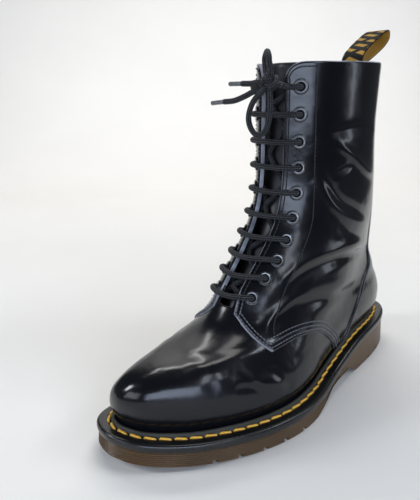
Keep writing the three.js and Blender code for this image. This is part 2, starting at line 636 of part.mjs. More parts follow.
// Routes run from the knot's middle, in millimetres
const BOW = {
  lace_loop_up: {
    leaves: [-0.75, 0.4, 1], returns: [0.5, -0.35, 1],
    route: [[-7, 4, 11.5], [-7.6, 4.4, 15.5], [-4.6, 2.2, 19], [-0.6, -1.6, 19.4], [2.6, -4.2, 16.4], [3.2, -4.4, 12.4]],
  },
  lace_loop_hanging: {
    leaves: [-0.1, -0.9, -0.8], returns: [0.5, -0.55, -1],
    route: [[-5, -9.4, -11], [-10.4, -8, -18], [-12.8, -6.4, -25], [-10.4, -6.2, -31.2], [-5.2, -6, -35],
      [0.4, -5.4, -32.6], [3.2, -4.6, -26.4], [4, -4.2, -19], [3.8, -3.8, -12.4]],
  },
  lace_end_short: { leaves: [-1, -0.4, 0], route: [[-12, -3.5, -0.5], [-21.5, -3, -0.5]] },
  lace_end_long: { leaves: [-0.8, -0.6, -0.8],
    route: [[-10, -4.9, -6.1], [-16.7, -5.5, -8.8], [-27, -5.5, -11.9], [-36.5, -5.5, -12.7]] },
};
const TIP_LENGTH = 12;
const TIP_DIAMETER = 3.4;
const fromKnot = (p) => KNOT.clone().add(vec(...p));
const routeOf = ({ leaves, route, returns }) => [
  knotExit(leaves), knotExit(leaves, 2.5), ...route.map(fromKnot),
  ...(returns ? [knotExit(returns, 2.5), knotExit(returns)] : []),
];
function tip({ route }) {
  const end = fromKnot(route[route.length - 1]);
  const heading = end.clone().sub(fromKnot(route[route.length - 2])).normalize();
  const start = end.clone().addScaledVector(heading, CLEARANCE);
  return cordTube([start, start.clone().addScaledVector(heading, TIP_LENGTH)], 1, 8, TIP_DIAMETER / 2);
}

add('outsole', geometryOf(outsole()), rubber);
add('welt', welt(), weltRubber);
add('insole', insole(), leatherInside);
add('upper', geometryOf(upperSolid()), leather);
add('tongue', sheetSolid(tongue()), leather);
for (let row = 0; row < EYELET_ROWS; row += 1) {
  const number = String(row + 1).padStart(2, '0');
  add(`eyelet_outer_${number}`, eyelet(row, 1), blackMetal);
  add(`eyelet_inner_${number}`, eyelet(row, -1), blackMetal);
}
add('lace', geometryOf(lace()), cord);

add('heel_loop', heelLoop(), webbing);
for (const [name, cordPart] of Object.entries(BOW)) {
  add(name, cordTube(routeOf(cordPart), 3 * cordPart.route.length), cord);
}
add('lace_tip_short', tip(BOW.lace_end_short), clearPlastic);
add('lace_tip_long', tip(BOW.lace_end_long), clearPlastic);
const knotBall = new THREE.SphereGeometry(1, 12, 8).scale(KNOT_HALF.x, KNOT_HALF.y, KNOT_HALF.z);
add('lace_knot', knotBall.translate(KNOT.x, KNOT.y, KNOT.z), cord);

export default group;
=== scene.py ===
# %% [markdown]
# Combat boot, left foot.
# A tall lace-up boot of glossy black leather on a stitched welt and a ribbed rubber sole.
# The frame of plain solids comes packed, in metres: +Z is up, the toe points to -Y and the outer side
# of the foot to +X. Every piece below is drawn from the same few sizes as those solids, so it lands on them.

# %% Load the frame
import math
import bpy
import numpy as np
from mathutils import Matrix


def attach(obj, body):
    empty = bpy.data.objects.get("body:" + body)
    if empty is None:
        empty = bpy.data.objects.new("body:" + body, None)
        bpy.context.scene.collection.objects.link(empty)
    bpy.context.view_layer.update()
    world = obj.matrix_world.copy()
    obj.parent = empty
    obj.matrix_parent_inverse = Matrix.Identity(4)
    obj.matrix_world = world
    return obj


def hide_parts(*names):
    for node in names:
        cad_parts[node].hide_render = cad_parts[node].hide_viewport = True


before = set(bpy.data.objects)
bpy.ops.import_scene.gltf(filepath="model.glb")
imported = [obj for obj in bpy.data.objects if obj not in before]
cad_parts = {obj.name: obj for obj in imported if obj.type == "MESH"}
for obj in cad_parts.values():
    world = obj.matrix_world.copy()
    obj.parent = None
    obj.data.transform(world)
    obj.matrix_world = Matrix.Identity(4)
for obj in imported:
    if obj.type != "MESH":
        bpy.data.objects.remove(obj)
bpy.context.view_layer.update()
MM = 0.001

# %% [markdown]
# The camera stands where the photograph was taken from: a little above the boot, off its outer front
# corner. Its place and turn were worked out from the welt, the eyelets and the collar.

# %% Camera
CAMERA_PLACE = (234.04, -311.23, 236.73)
CAMERA_YAW, CAMERA_PITCH, CAMERA_ROLL = 0.7782, 0.3010, -0.0207
CAMERA_LENS = 37.89

level = np.array([math.cos(CAMERA_YAW), math.sin(CAMERA_YAW), 0.0])
ahead = np.array([-math.sin(CAMERA_YAW) * math.cos(CAMERA_PITCH),
                  math.cos(CAMERA_YAW) * math.cos(CAMERA_PITCH), -math.sin(CAMERA_PITCH)])
above = np.cross(level, ahead)
camera_right = level * math.cos(CAMERA_ROLL) + above * math.sin(CAMERA_ROLL)
camera_up = above * math.cos(CAMERA_ROLL) - level * math.sin(CAMERA_ROLL)
bpy.ops.object.camera_add()
camera = bpy.context.object
camera.name = "photo_camera"
camera.data.lens = CAMERA_LENS
camera.data.clip_start = 0.01
turn = Matrix([[camera_right[i], camera_up[i], -ahead[i]] for i in range(3)]).to_4x4()
camera.matrix_world = Matrix.Translation([c * MM for c in CAMERA_PLACE]) @ turn
bpy.context.scene.camera = camera
print("camera at", CAMERA_PLACE)

# %% [markdown]
# The driving sizes are those of the plain solids, in millimetres. The last of the boot is a set of rings
# from the feather edge, where the upper meets the sole, to the collar.

# %% Sizes
SOLE_LENGTH, SOLE_WIDTH = 305.0, 110.0
FORE_HEIGHT, HEEL_HEIGHT, TOE_SPRING = 16.5, 30.5, 5.5
COLLAR_HEIGHT, LEG_AXIS_X = 252.0, -3.3
LIP_HEIGHT, STITCH_INSET, FEATHER_INSET = 6.0, 8.2, 12.8
CLEARANCE, LEATHER, LAP = 0.3, 1.8, 1.2
FACING_GAP, FACING_CORNER = 19.0, 12.0
EYELET_ROWS, EYELET_ROWS_FOOT = 10, 4
EYELET_PITCH, EYELET_PITCH_FOOT, EYELET_TOP, EYELET_SPREAD = 18.4, 16.6, 15.8, 18.4
LACE_DIAMETER, LACE_RADIUS = 4.0, 2.0
SIDES = ((1, "outer"), (-1, "inner"))

OUTLINE = np.array([
    (-0.5, -0.187, -0.187), (-0.491, -0.075, -0.318), (-0.475, 0.018, -0.386), (-0.448, 0.108, -0.432),
    (-0.39, 0.24, -0.465), (-0.325, 0.34, -0.482), (-0.245, 0.432, -0.5), (-0.165, 0.488, -0.474),
    (-0.1, 0.5, -0.432), (-0.025, 0.474, -0.377), (0.065, 0.416, -0.338), (0.19, 0.367, -0.345),
    (0.31, 0.333, -0.364), (0.395, 0.283, -0.342), (0.45, 0.217, -0.28), (0.484, 0.131, -0.184),
    (0.5, -0.03, -0.03)])
# own, inset, inset at the heel, rise, front y, front z, back y, back z, half width fore, half width heel
RINGS = np.array([
    (0, 1, 1, -1, 0, 0, 0, 0, 0, 0),
    (0, 1, 1, 0.5, 0, 0, 0, 0, 0, 0),
    (0, 0.78, 0.74, 1.8, 0, 0, 0, 0, 0, 0),
    (0.15, 0.72, 0.62, 3.8, -0.455, 0.175, 0.455, 0.205, 0.4, 0.31),
    (0.4, 0.95, 0.65, 5.4, -0.424, 0.22, 0.448, 0.245, 0.385, 0.31),
    (0.7, 1.25, 0.8, 6.8, -0.368, 0.243, 0.44, 0.283, 0.372, 0.305),
    (0.9, 1.5, 0.9, 7.6, -0.297, 0.262, 0.43, 0.327, 0.36, 0.3),
    (1, 1, 1, 0, -0.224, 0.302, 0.42, 0.376, 0.35, 0.295),
    (1, 1, 1, 0, -0.162, 0.392, 0.412, 0.428, 0.342, 0.3),
    (1, 1, 1, 0, -0.099, 0.475, 0.404, 0.484, 0.335, 0.315),
    (1, 1, 1, 0, -0.05, 0.556, 0.394, 0.556, 0.33, 0.33),
    (1, 1, 1, 0, -0.024, 0.65, 0.384, 0.643, 0.33, 0.335),
    (1, 1, 1, 0, -0.017, 0.82, 0.366, 0.82, 0.335, 0.34),
    (1, 1, 1, 0, -0.017, 1, 0.376, 1, 0.34, 0.345),
    (1, 1, 1, 0, -0.017, 1.05, 0.378, 1.05, 0.34, 0.345)])
LAST_RING = len(RINGS) - 1
COLLAR_RING = LAST_RING - 1
print("rings:", len(RINGS))

# %% [markdown]
# A smooth line through a few chosen points is worth more than many measured ones. One centripetal spline
# serves everything here: the outline of the sole, the lines that climb the upper, seams, cords and folds.

# %% Splines and small helpers
def mix(a, b, share):
    return a + (b - a) * share


def smooth(share):
    c = np.clip(share, 0.0, 1.0)
    return c * c * (3 - 2 * c)


def cubic(p0, p1, p2, p3, w):
    """Centripetal spline between p1 and p2; the last axis of each holds x, y, z."""
    gap = lambda a, b: np.maximum(np.linalg.norm(b - a, axis=-1, keepdims=True) ** 0.5, 1e-4)
    d0, d1, d2 = gap(p0, p1), gap(p1, p2), gap(p2, p3)
    start = ((p1 - p0) / d0 - (p2 - p0) / (d0 + d1) + (p2 - p1) / d1) * d1
    end = ((p2 - p1) / d1 - (p3 - p1) / (d1 + d2) + (p3 - p2) / d2) * d1
    c2 = -3 * p1 + 3 * p2 - 2 * start - end
    c3 = 2 * p1 - 2 * p2 + start + end
    return p1 + w * (start + w * (c2 + w * c3))


def spline(points, where, closed=False):
    points = np.asarray(points, float)
    where = np.asarray(where, float)
    count = len(points)
    if closed:
        at = (where % 1.0) * count
        span = count
        padded = points[np.arange(-1, count + 2) % count]
    else:
        at = np.clip(where, 0, 1) * (count - 1)
        span = count - 1
        padded = np.vstack([2 * points[:1] - points[1:2], points, 2 * points[-1:] - points[-2:-1]])
    i = np.minimum(np.floor(at).astype(int), span - 1)
    w = (at - i)[..., None]
    return cubic(padded[i], padded[i + 1], padded[i + 2], padded[i + 3], w)


def unit(v):
    return v / np.maximum(np.linalg.norm(v, axis=-1, keepdims=True), 1e-12)


def curve(points, count):
    """A smooth line of this many points through a few chosen ones."""
    return spline(points, np.linspace(0, 1, count))


def run_along(points):
    """Distance from the start of a line to each of its points."""
    return np.concatenate([[0], np.cumsum(np.linalg.norm(np.diff(points, axis=0), axis=1))])


def even(points, count):
    """The same line with its points at even distances."""
    points = np.asarray(points, float)
    run = run_along(points)
    at = np.linspace(0, run[-1], count)
    return np.stack([np.interp(at, run, points[:, k]) for k in range(points.shape[1])], axis=1)


def outline_half(rows, column):
    return np.stack([rows[:, column] * SOLE_WIDTH, rows[:, 0] * SOLE_LENGTH, 0 * rows[:, 0]], axis=1)


OUTLINE_POINTS = np.vstack([outline_half(OUTLINE, 1), outline_half(OUTLINE[-2:0:-1], 2)])


def edge(u):
    """Point on the sole's outline and its outward direction; u runs toe, outer side, heel (0.5), inner."""
    u = np.asarray(u, float)
    point = spline(OUTLINE_POINTS, u, closed=True)
    before, after = [spline(OUTLINE_POINTS, u + nudge, closed=True) for nudge in (-1e-4, 1e-4)]
    tangent = unit(after - before)
    out = np.stack([tangent[..., 1], -tangent[..., 0], 0 * u], axis=-1)
    return point, out


# Where the toe begins to rise, and the square of the length it rises over; the same for the slope to the
# heel, with its length and how far it lies before the middle, all as shares of the sole's length
SPRING_FROM, SPRING_SQUARE = 0.188, 0.087
SLOPE_LENGTH, SLOPE_SHIFT = 0.328, 0.073


def spring_at(y):
    """How far the toe spring lifts the sole."""
    return TOE_SPRING * np.maximum(0, -y / SOLE_LENGTH - SPRING_FROM) ** 2 / SPRING_SQUARE


def lip_at(y):
    """Height of the welt's top."""
    slope = smooth(y / SOLE_LENGTH / SLOPE_LENGTH + SLOPE_SHIFT)
    return mix(FORE_HEIGHT, HEEL_HEIGHT, slope) + spring_at(y)


def inset_row(u, inset, rise=0.0):
    """A line inside the outline, at a rise above the welt."""
    point, out = edge(u)
    line = point - out * inset
    line[..., 2] = lip_at(line[..., 1]) + rise
    return line


print("outline length in mm:", round(run_along(edge(np.linspace(0, 1, 400))[0])[-1], 1))

# %% [markdown]
# The last. Low rings follow the sole at an inset, high rings are drawn between a front and a back point,
# and the ones between are blends. A place on the upper is then two numbers: u round it, and t up it.

# %% The surface of the last
REAR_FROM, REAR_OVER = 0.45, 0.4
OVAL, HEEL_BLUNT = 0.5, 0.38


def ring_points(u):
    """One point on every ring of the last, for each u."""
    point, out = edge(u)
    along = point[..., 1] / SOLE_LENGTH + 0.5
    rear = smooth((along - REAR_FROM) / REAR_OVER)
    side = np.where((u % 1.0) < 0.5, 1.0, -1.0)
    share = np.clip(along, 0, 1)
    rows = []
    for own, inset, inset_heel, rise, front_y, front_z, back_y, back_z, fore, heel in RINGS:
        low = point - out * (FEATHER_INSET * mix(inset, inset_heel, rear))[..., None]
        low[..., 2] = lip_at(low[..., 1]) + rise * LIP_HEIGHT
        if own == 0:
            rows.append(low)
            continue
        blunt = OVAL if own == 1 else mix(OVAL, HEEL_BLUNT, smooth(along * 2 - 1))
        half = mix(fore, heel, rear) * SOLE_WIDTH * np.maximum(4 * share * (1 - share), 0) ** blunt
        high = np.stack([LEG_AXIS_X + side * half, mix(front_y, back_y, share) * SOLE_LENGTH,
                         mix(front_z, back_z, share) * COLLAR_HEIGHT], axis=-1)
        rows.append(mix(low, high, own))
    return np.stack(rows)


def on_last(u, t):
    """Points at u and t, which are arrays of one shape."""
    u, t = np.broadcast_arrays(np.asarray(u, float), np.asarray(t, float))
    shape = u.shape
    flat_u, flat_t = u.ravel(), np.clip(t.ravel(), 0, LAST_RING)
    rows = ring_points(flat_u)
    padded = np.concatenate([2 * rows[:1] - rows[1:2], rows, 2 * rows[-1:] - rows[-2:-1]])
    i = np.minimum(np.floor(flat_t).astype(int), LAST_RING - 1)
    k = np.arange(len(flat_u))
    out = cubic(padded[i, k], padded[i + 1, k], padded[i + 2, k], padded[i + 3, k], (flat_t - i)[:, None])
    return out.reshape(shape + (3,))


def outward(u, t):
    nudge = 1 / 512
    round_it = on_last(u + nudge, t) - on_last(u - nudge, t)
    up_it = on_last(u, t + 0.05) - on_last(u, t - 0.05)
    return unit(np.cross(round_it, up_it))


def off_last(u, t, distance):
    return on_last(u, t) + outward(u, t) * np.asarray(distance)[..., None]


def on_side(u, side):
    """u itself on the outer side (1), its mirror image on the inner side (-1)."""
    return u if side > 0 else 1 - u


def facing_u(t, distance, start=0.0):
    """u on the outer side where the surface is this far sideways of the leg's axis."""
    t, distance = np.broadcast_arrays(np.asarray(t, float), np.asarray(distance, float))
    low, high = np.full(t.shape, start), np.full(t.shape, 0.25)
    for _ in range(24):
        half = (low + high) / 2
        inside = on_last(half, t)[..., 0] - LEG_AXIS_X < distance
        low, high = np.where(inside, half, low), np.where(inside, high, half)
    return low


def spread_share(t):
    """The rows of eyelets come closer together at the instep."""
    return mix(mix(0.84, 1.06, smooth((t - 7.5) / 1.4)), 1, smooth((t - 9) / 2))


# Rows are counted from the top down the facing, then listed from the lowest
line_t = np.arange(LAST_RING, 6 - 1e-9, -1 / 32)
line_u = facing_u(line_t, EYELET_SPREAD * spread_share(line_t))
line = on_last(line_u, line_t)
first = np.argmax(line[:, 2] <= COLLAR_HEIGHT - EYELET_TOP)
pitches = [0] + [EYELET_PITCH] * (EYELET_ROWS - EYELET_ROWS_FOOT - 1) + [EYELET_PITCH_FOOT] * EYELET_ROWS_FOOT
picked = first + np.searchsorted(run_along(line[first:]), np.cumsum(pitches))
EYELETS = list(zip(line_t[picked], line_u[picked]))[::-1]
THROAT_BASE = EYELETS[0][0] - 0.22
for row, (t, u) in enumerate(EYELETS, 1):
    print("eyelet row", row, np.round(on_last(u, t), 1))

# %% [markdown]
# Each surface starts as a flat grid primitive, whose corners are then laid on the last. A grid keeps rows
# and columns in order, gives a UV map for the thread and webbing patterns, and can be closed into a tube.

# %% Grids, tubes and their helpers
WELD_SEAM, WELD_SHEETS = 1e-6, 2e-5


def select_only(*pieces):
    bpy.ops.object.select_all(action="DESELECT")
    for piece in pieces:
        piece.select_set(True)
    bpy.context.view_layer.objects.active = pieces[0]


def edit(piece, step, **settings):
    """One edit-mode tool, used on the whole mesh of a piece."""
    select_only(piece)
    bpy.ops.object.mode_set(mode="EDIT")
    bpy.ops.mesh.select_all(action="SELECT")
    step(**settings)
    bpy.ops.object.mode_set(mode="OBJECT")


def weld(piece, distance=WELD_SEAM):
    edit(piece, bpy.ops.mesh.remove_doubles, threshold=distance)


def outward_faces(piece):
    edit(piece, bpy.ops.mesh.normals_make_consistent, inside=False)


def grid_piece(name, points, close_round=False, close_up=False, flip=False):
    """A grid primitive with its corners at points[row, column], in millimetres."""
    points = np.asarray(points, float)
    if close_round:
        points = np.concatenate([points, points[:, :1]], axis=1)
    if close_up:
        points = np.concatenate([points, points[:1]], axis=0)
    rows, columns = points.shape[:2]
    bpy.ops.mesh.primitive_grid_add(x_subdivisions=columns - 1, y_subdivisions=rows - 1, size=2,
                                    calc_uvs=True)
    piece = bpy.context.object
    piece.name = piece.data.name = name
    flat = np.empty(len(piece.data.vertices) * 3)
    piece.data.vertices.foreach_get("co", flat)
    flat = flat.reshape(-1, 3)
    column = np.rint((flat[:, 0] + 1) / 2 * (columns - 1)).astype(int)
    row = np.rint((flat[:, 1] + 1) / 2 * (rows - 1)).astype(int)
    piece.data.vertices.foreach_set("co", (points[row, column] * MM).ravel())
    piece.data.update()
    if close_round or close_up:
        weld(piece)
    if flip:
        edit(piece, bpy.ops.mesh.flip_normals)
    bpy.ops.object.shade_smooth()
    return piece


def tube(name, points, **closing):
    """A grid closed into a tube, with its faces outward."""
    piece = grid_piece(name, points, close_round=True, **closing)
    outward_faces(piece)
    return piece


def join(name, pieces):
    select_only(*pieces)
    bpy.ops.object.join()
    whole = bpy.context.object
    whole.name = whole.data.name = name
    return whole


def face_centres(piece):
    """The middles of a piece's faces, in millimetres."""
    centres = np.empty(len(piece.data.polygons) * 3)
    piece.data.polygons.foreach_get("center", centres)
    return centres.reshape(-1, 3) / MM


def second_material(piece, faces):
    """Give the marked faces of a piece its second material."""
    piece.data.polygons.foreach_set("material_index", faces.astype(int).ravel())


def stretch_uv(piece, length):
    """Let a tube's UV map run in millimetres along it, and in turns round it."""
    layer = piece.data.uv_layers[0].data
    values = np.empty(len(layer) * 2)
    layer.foreach_get("uv", values)
    values[1::2] *= length
    layer.foreach_set("uv", values)


def finish_piece(piece, materials=(), replaces=()):
    """Give a piece its materials and body, and hide the plain solids it stands for."""
    if materials:
        piece.data.materials.clear()
    for material in materials:
        piece.data.materials.append(material)
    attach(piece, "root")
    if replaces:
        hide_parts(*replaces)
    print(piece.name, "faces", len(piece.data.polygons))


def cord_rows(line, radius, reference=None, sides=12):
    """Round sections along a line, turned as little as possible from one to the next."""
    line = np.asarray(line, float)
    heading = unit(np.gradient(line, axis=0))
    first = np.array([0.0, 0.0, 1.0]) if reference is None else np.asarray(reference, float)
    if abs(heading[0] @ unit(first)) > 0.95:
        first = np.array([1.0, 0.0, 0.0])
    across = unit(np.cross(first, heading[0]))
    radius = np.broadcast_to(radius, len(line))
    angle = np.linspace(0, 2 * math.pi, sides, endpoint=False)
    rows = []
    for k, point in enumerate(line):
        across = unit(across - heading[k] * (across @ heading[k]))
        upright = np.cross(heading[k], across)
        rows.append(point + radius[k] * (np.cos(angle)[:, None] * across + np.sin(angle)[:, None] * upright))
    return np.stack(rows)


print("helpers ready")

# %% [markdown]
# Leather, rubber, cord and metal each get a material of shader nodes. One group, the grain, serves nearly
# all of them; the shader's plain numbers stay on its own sockets.

# %% Material helpers
def new_material(name, **sockets):
    material = bpy.data.materials.new(name)
    material.use_nodes = True
    shader = material.node_tree.nodes["Principled BSDF"]
    for key, value in sockets.items():
        shader.inputs[key.replace("_", " ")].default_value = value
    return material, material.node_tree, shader


def node(tree, kind, **values):
    made = tree.nodes.new(kind)
    for key, value in values.items():
        if hasattr(made, key):
            setattr(made, key, value)
        else:
            made.inputs[key.replace("_", " ")].default_value = value
    return made


def math_node(tree, operation, *values):
    made = node(tree, "ShaderNodeMath", operation=operation)
    for k, value in enumerate(values):
        if isinstance(value, (int, float)):
            made.inputs[k].default_value = value
        else:
            tree.links.new(value, made.inputs[k])
    return made.outputs["Value"]


def ramp(tree, source, *stops):
    made = tree.nodes.new("ShaderNodeValToRGB")
    while len(made.color_ramp.elements) < len(stops):
        made.color_ramp.elements.new(0.5)
    for element, (place, colour) in zip(made.color_ramp.elements, stops):
        element.position = place
        element.color = (*colour, 1.0)
    tree.links.new(source, made.inputs["Fac"])
    return made.outputs["Color"]


def paint(tree, shader, source, *stops):
    tree.links.new(ramp(tree, source, *stops), shader.inputs["Base Color"])


def in_place(tree, *patterns):
    """Let patterns lie in the piece's own space."""
    place = tree.nodes.new("ShaderNodeTexCoord")
    for pattern in patterns:
        tree.links.new(place.outputs["Object"], pattern.inputs["Vector"])


def bump_from(tree, shader, height, strength, distance):
    made = node(tree, "ShaderNodeBump", Strength=strength, Distance=distance)
    tree.links.new(height, made.inputs["Height"])
    tree.links.new(made.outputs["Normal"], shader.inputs["Normal"])
    return made


# Grain: a height of pores and slow waves, and a mask of faint smears, for polished or dull surfaces
GRAIN = bpy.data.node_groups.new("surface_grain", "ShaderNodeTree")
for label, usual in (("Pore Scale", 900.0), ("Smear Scale", 22.0)):
    socket = GRAIN.interface.new_socket(name=label, in_out="INPUT", socket_type="NodeSocketFloat")
    socket.default_value = usual
for label in ("Height", "Smear"):
    GRAIN.interface.new_socket(name=label, in_out="OUTPUT", socket_type="NodeSocketFloat")
grain_in, grain_out = GRAIN.nodes.new("NodeGroupInput"), GRAIN.nodes.new("NodeGroupOutput")
pores = node(GRAIN, "ShaderNodeTexVoronoi", feature="SMOOTH_F1")
waves = node(GRAIN, "ShaderNodeTexNoise", Scale=140.0, Detail=3.0)
smears = node(GRAIN, "ShaderNodeTexNoise", Detail=4.0, Roughness=0.6)
in_place(GRAIN, pores, waves, smears)
GRAIN.links.new(grain_in.outputs["Pore Scale"], pores.inputs["Scale"])
GRAIN.links.new(grain_in.outputs["Smear Scale"], smears.inputs["Scale"])
GRAIN.links.new(math_node(GRAIN, "ADD", pores.outputs["Distance"], waves.outputs["Fac"]),
                grain_out.inputs["Height"])
GRAIN.links.new(smears.outputs["Fac"], grain_out.inputs["Smear"])


def grained(name, tones, grain_scales, gloss=None, bump=None, **sockets):
    """A material whose tone, and gloss where given, follow the smears; bump is strength and distance."""
    material, tree, shader = new_material(name, **sockets)
    grain = node(tree, "ShaderNodeGroup", node_tree=GRAIN, **grain_scales)
    paint(tree, shader, grain.outputs["Smear"], *tones)
    if gloss:
        tree.links.new(ramp(tree, grain.outputs["Smear"], *gloss), shader.inputs["Roughness"])
    if bump:
        bump_from(tree, shader, grain.outputs["Height"], *bump)
    return material


def leather_material(name, colour, rough, bump=0.08, ripple=0.0, **sockets):
    """Leather: grain in the bump, smears in tone and gloss, and a slow ripple that bends reflections."""
    material, tree, shader = new_material(name, **sockets)
    grain = node(tree, "ShaderNodeGroup", node_tree=GRAIN)
    paint(tree, shader, grain.outputs["Smear"], (0.3, colour), (0.75, [1.5 * c for c in colour]))
    dull = node(tree, "ShaderNodeMapRange", From_Min=0.3, From_Max=0.75, To_Min=rough, To_Max=rough * 1.6)
    tree.links.new(grain.outputs["Smear"], dull.inputs["Value"])
    tree.links.new(dull.outputs["Result"], shader.inputs["Roughness"])
    fine = bump_from(tree, shader, grain.outputs["Height"], bump, 0.0004)
    if ripple:
        swell = node(tree, "ShaderNodeTexNoise", Scale=70.0, Detail=2.0, Roughness=0.4)
        in_place(tree, swell)
        slow = node(tree, "ShaderNodeBump", Strength=ripple, Distance=0.001)
        tree.links.new(swell.outputs["Fac"], slow.inputs["Height"])
        tree.links.new(slow.outputs["Normal"], fine.inputs["Normal"])
    return material


polished_leather = leather_material("polished_leather", (0.0028, 0.0032, 0.0052), 0.17, 0.05, 0.45,
                                    Coat_Weight=0.12, Coat_Roughness=0.08, Specular_IOR_Level=0.46)
tongue_leather = leather_material("tongue_leather", (0.012, 0.013, 0.016), 0.34, 0.15, Specular_IOR_Level=0.5)
lining_leather = leather_material("lining_leather", (0.03, 0.028, 0.026), 0.6, 0.3)
insole_board = leather_material("insole_board", (0.035, 0.03, 0.026), 0.7, 0.3)
# Cut edges are matt like raw leather; their light blue-grey colour is a painted highlight where the rounded
# edge catches the lamps
cut_edge_highlight = grained("cut_edge_painted_highlight", [(0.3, (0.13, 0.137, 0.16)), (0.7, (0.33, 0.345, 0.39))],
                   dict(Pore_Scale=2600.0, Smear_Scale=90.0), Roughness=0.62)
print("materials:", len(bpy.data.materials))

# %% [markdown]
# The studio is a pale sweep: a floor that bends up into a wall behind the boot, so no line shows where
# they meet. Polished black leather shows little of its own colour; what shows is the light it reflects,
# so the lamps are wide and soft, and their places decide how the boot looks.

# %% Studio
SWEEP_NEAR, SWEEP_FLAT, SWEEP_BEND, SWEEP_TOP = -620.0, 900.0, 700.0, 2500.0
SWEEP_SPREAD, SWEEP_LEAST = 0.5, 220.0
away = np.array([ahead[0], ahead[1], 0]) / math.hypot(ahead[0], ahead[1])
bend = np.linspace(0, math.pi / 2, 24)
profile = np.concatenate([
    [[SWEEP_NEAR, 0]],
    np.stack([SWEEP_FLAT + SWEEP_BEND * np.sin(bend), SWEEP_BEND * (1 - np.cos(bend))], axis=1),
    [[SWEEP_FLAT + SWEEP_BEND, SWEEP_TOP]]])
half_width = np.maximum(SWEEP_SPREAD * (profile[:, 0] - SWEEP_NEAR), SWEEP_LEAST)
sweep_rows = np.stack([
    np.outer(profile[:, 0], away) + np.outer(half_width * side, level) + np.outer(profile[:, 1], [0, 0, 1])
    for side in (-1, 1)], axis=1)
sweep = grid_piece("studio_sweep", sweep_rows)
studio_paper = grained("studio_paper", [(0.3, (0.77, 0.755, 0.725)), (0.7, (0.82, 0.805, 0.775))],
                       dict(Smear_Scale=1.5), Roughness=0.75)
sweep.data.materials.append(studio_paper)

# place, aim, width, height, power, colour
wall_foot, wall_top = away * 1000, away * 1750
LAMPS = {
    "window_left": ((-820, -1080, 820), (0, -40, 60), 360, 500, 8.5, (0.9, 0.95, 1.0)),
    "top_soft": ((150, 250, 1500), (0, 0, 60), 420, 420, 2.9, (1.0, 0.98, 0.95)),
    "window_right": ((1250, -150, 750), (0, 20, 120), 180, 460, 1.9, (0.84, 0.9, 1.0)),
    "room_front": ((1040, -940, 350), (20, 0, 180), 1500, 480, 14, (0.7, 0.8, 1.0)),
    "room_left": ((-240, -1380, 330), (0, 0, 160), 560, 460, 2.6, (0.84, 0.9, 1.0)),
    "window_high": ((878, 615, 1080), (30, 20, 150), 460, 280, 4.2, (0.84, 0.91, 1.0)),
    "strip_back": ((950, 886, 420), (30, 20, 150), 140, 700, 1.4, (0.82, 0.9, 1.0)),
    "wall_wash": ((*wall_foot[:2], 1900), (*wall_top[:2], 500), 1800, 400, 28, (1.0, 0.99, 0.98))}
AIR_COLOUR, AIR_STRENGTH = (0.86, 0.89, 0.95, 1), 0.1
VIEW_GAMMA = 0.92

for name, (place, aim, width, height, power, colour) in LAMPS.items():
    bpy.ops.object.light_add(type="AREA")
    lamp = bpy.context.object
    lamp.name = name
    lamp.data.shape = "RECTANGLE"
    lamp.data.size, lamp.data.size_y = width * MM, height * MM
    lamp.data.energy, lamp.data.color = power, colour
    back = unit(np.array(place, float) - np.array(aim, float))
    aside = unit(np.cross([0, 0, 1], back))
    turn = Matrix([[aside[i], np.cross(back, aside)[i], back[i]] for i in range(3)]).to_4x4()
    lamp.matrix_world = Matrix.Translation([c * MM for c in place]) @ turn

world = bpy.data.worlds.new("studio_air")
world.use_nodes = True
air = world.node_tree.nodes["Background"].inputs
air["Color"].default_value, air["Strength"].default_value = AIR_COLOUR, AIR_STRENGTH
bpy.context.scene.world = world
bpy.context.scene.view_settings.view_transform = "Standard"
bpy.context.scene.view_settings.gamma = VIEW_GAMMA
print("lamps:", list(LAMPS))

# %% [markdown]
# Folds are what make leather look like leather. Each one is a soft trough with a ridge beside it, drawn
# as a line in the shoe's own side view, and fading at both ends. They bend every layer alike.

# %% Places on the sides, and the folds
STEP_U, STEP_T = 1e-3, 1e-2


def slopes(surface, u, t, here):
    """How a point of a surface moves with u, and with t."""
    return (surface(u + STEP_U, t) - here) / STEP_U, (surface(u, t + STEP_T) - here) / STEP_T


def locate(targets, side, axes=(1, 2), low=0.002, high=0.498, lift=LAP):
    """u and t of points given by two coordinates, on the outer (1) or inner (-1) side."""
    targets = np.atleast_2d(np.asarray(targets, float))

    def seen(u, t):
        return off_last(on_side(u, side), t, np.full(np.shape(u), lift))[..., list(axes)]

    grid_u, grid_t = np.meshgrid(np.linspace(low, high, 200), np.linspace(0, LAST_RING, 180))
    table = seen(grid_u, grid_t).reshape(-1, 2)
    nearest = np.array([np.argmin(((table - target) ** 2).sum(axis=1)) for target in targets])
    u, t = grid_u.ravel()[nearest], grid_t.ravel()[nearest]
    for _ in range(8):
        here = seen(u, t)
        du, dt = slopes(seen, u, t, here)
        gap = targets - here
        scale = du[:, 0] * dt[:, 1] - du[:, 1] * dt[:, 0]
        scale = np.where(np.abs(scale) < 1e-3, 1e-3, scale)
        step_u = (gap[:, 0] * dt[:, 1] - gap[:, 1] * dt[:, 0]) / scale
        step_t = (du[:, 0] * gap[:, 1] - du[:, 1] * gap[:, 0]) / scale
        u = np.clip(u + np.clip(step_u, -0.01, 0.01), 0, 0.5)
        t = np.clip(t + np.clip(step_t, -0.3, 0.3), 0, LAST_RING)
    return np.array([on_side(u, side), t])


def side_line(points, count):
    """A line of the side view, given in shares of length and height, as points in millimetres."""
    return curve(points, count) * [SOLE_LENGTH, COLLAR_HEIGHT]


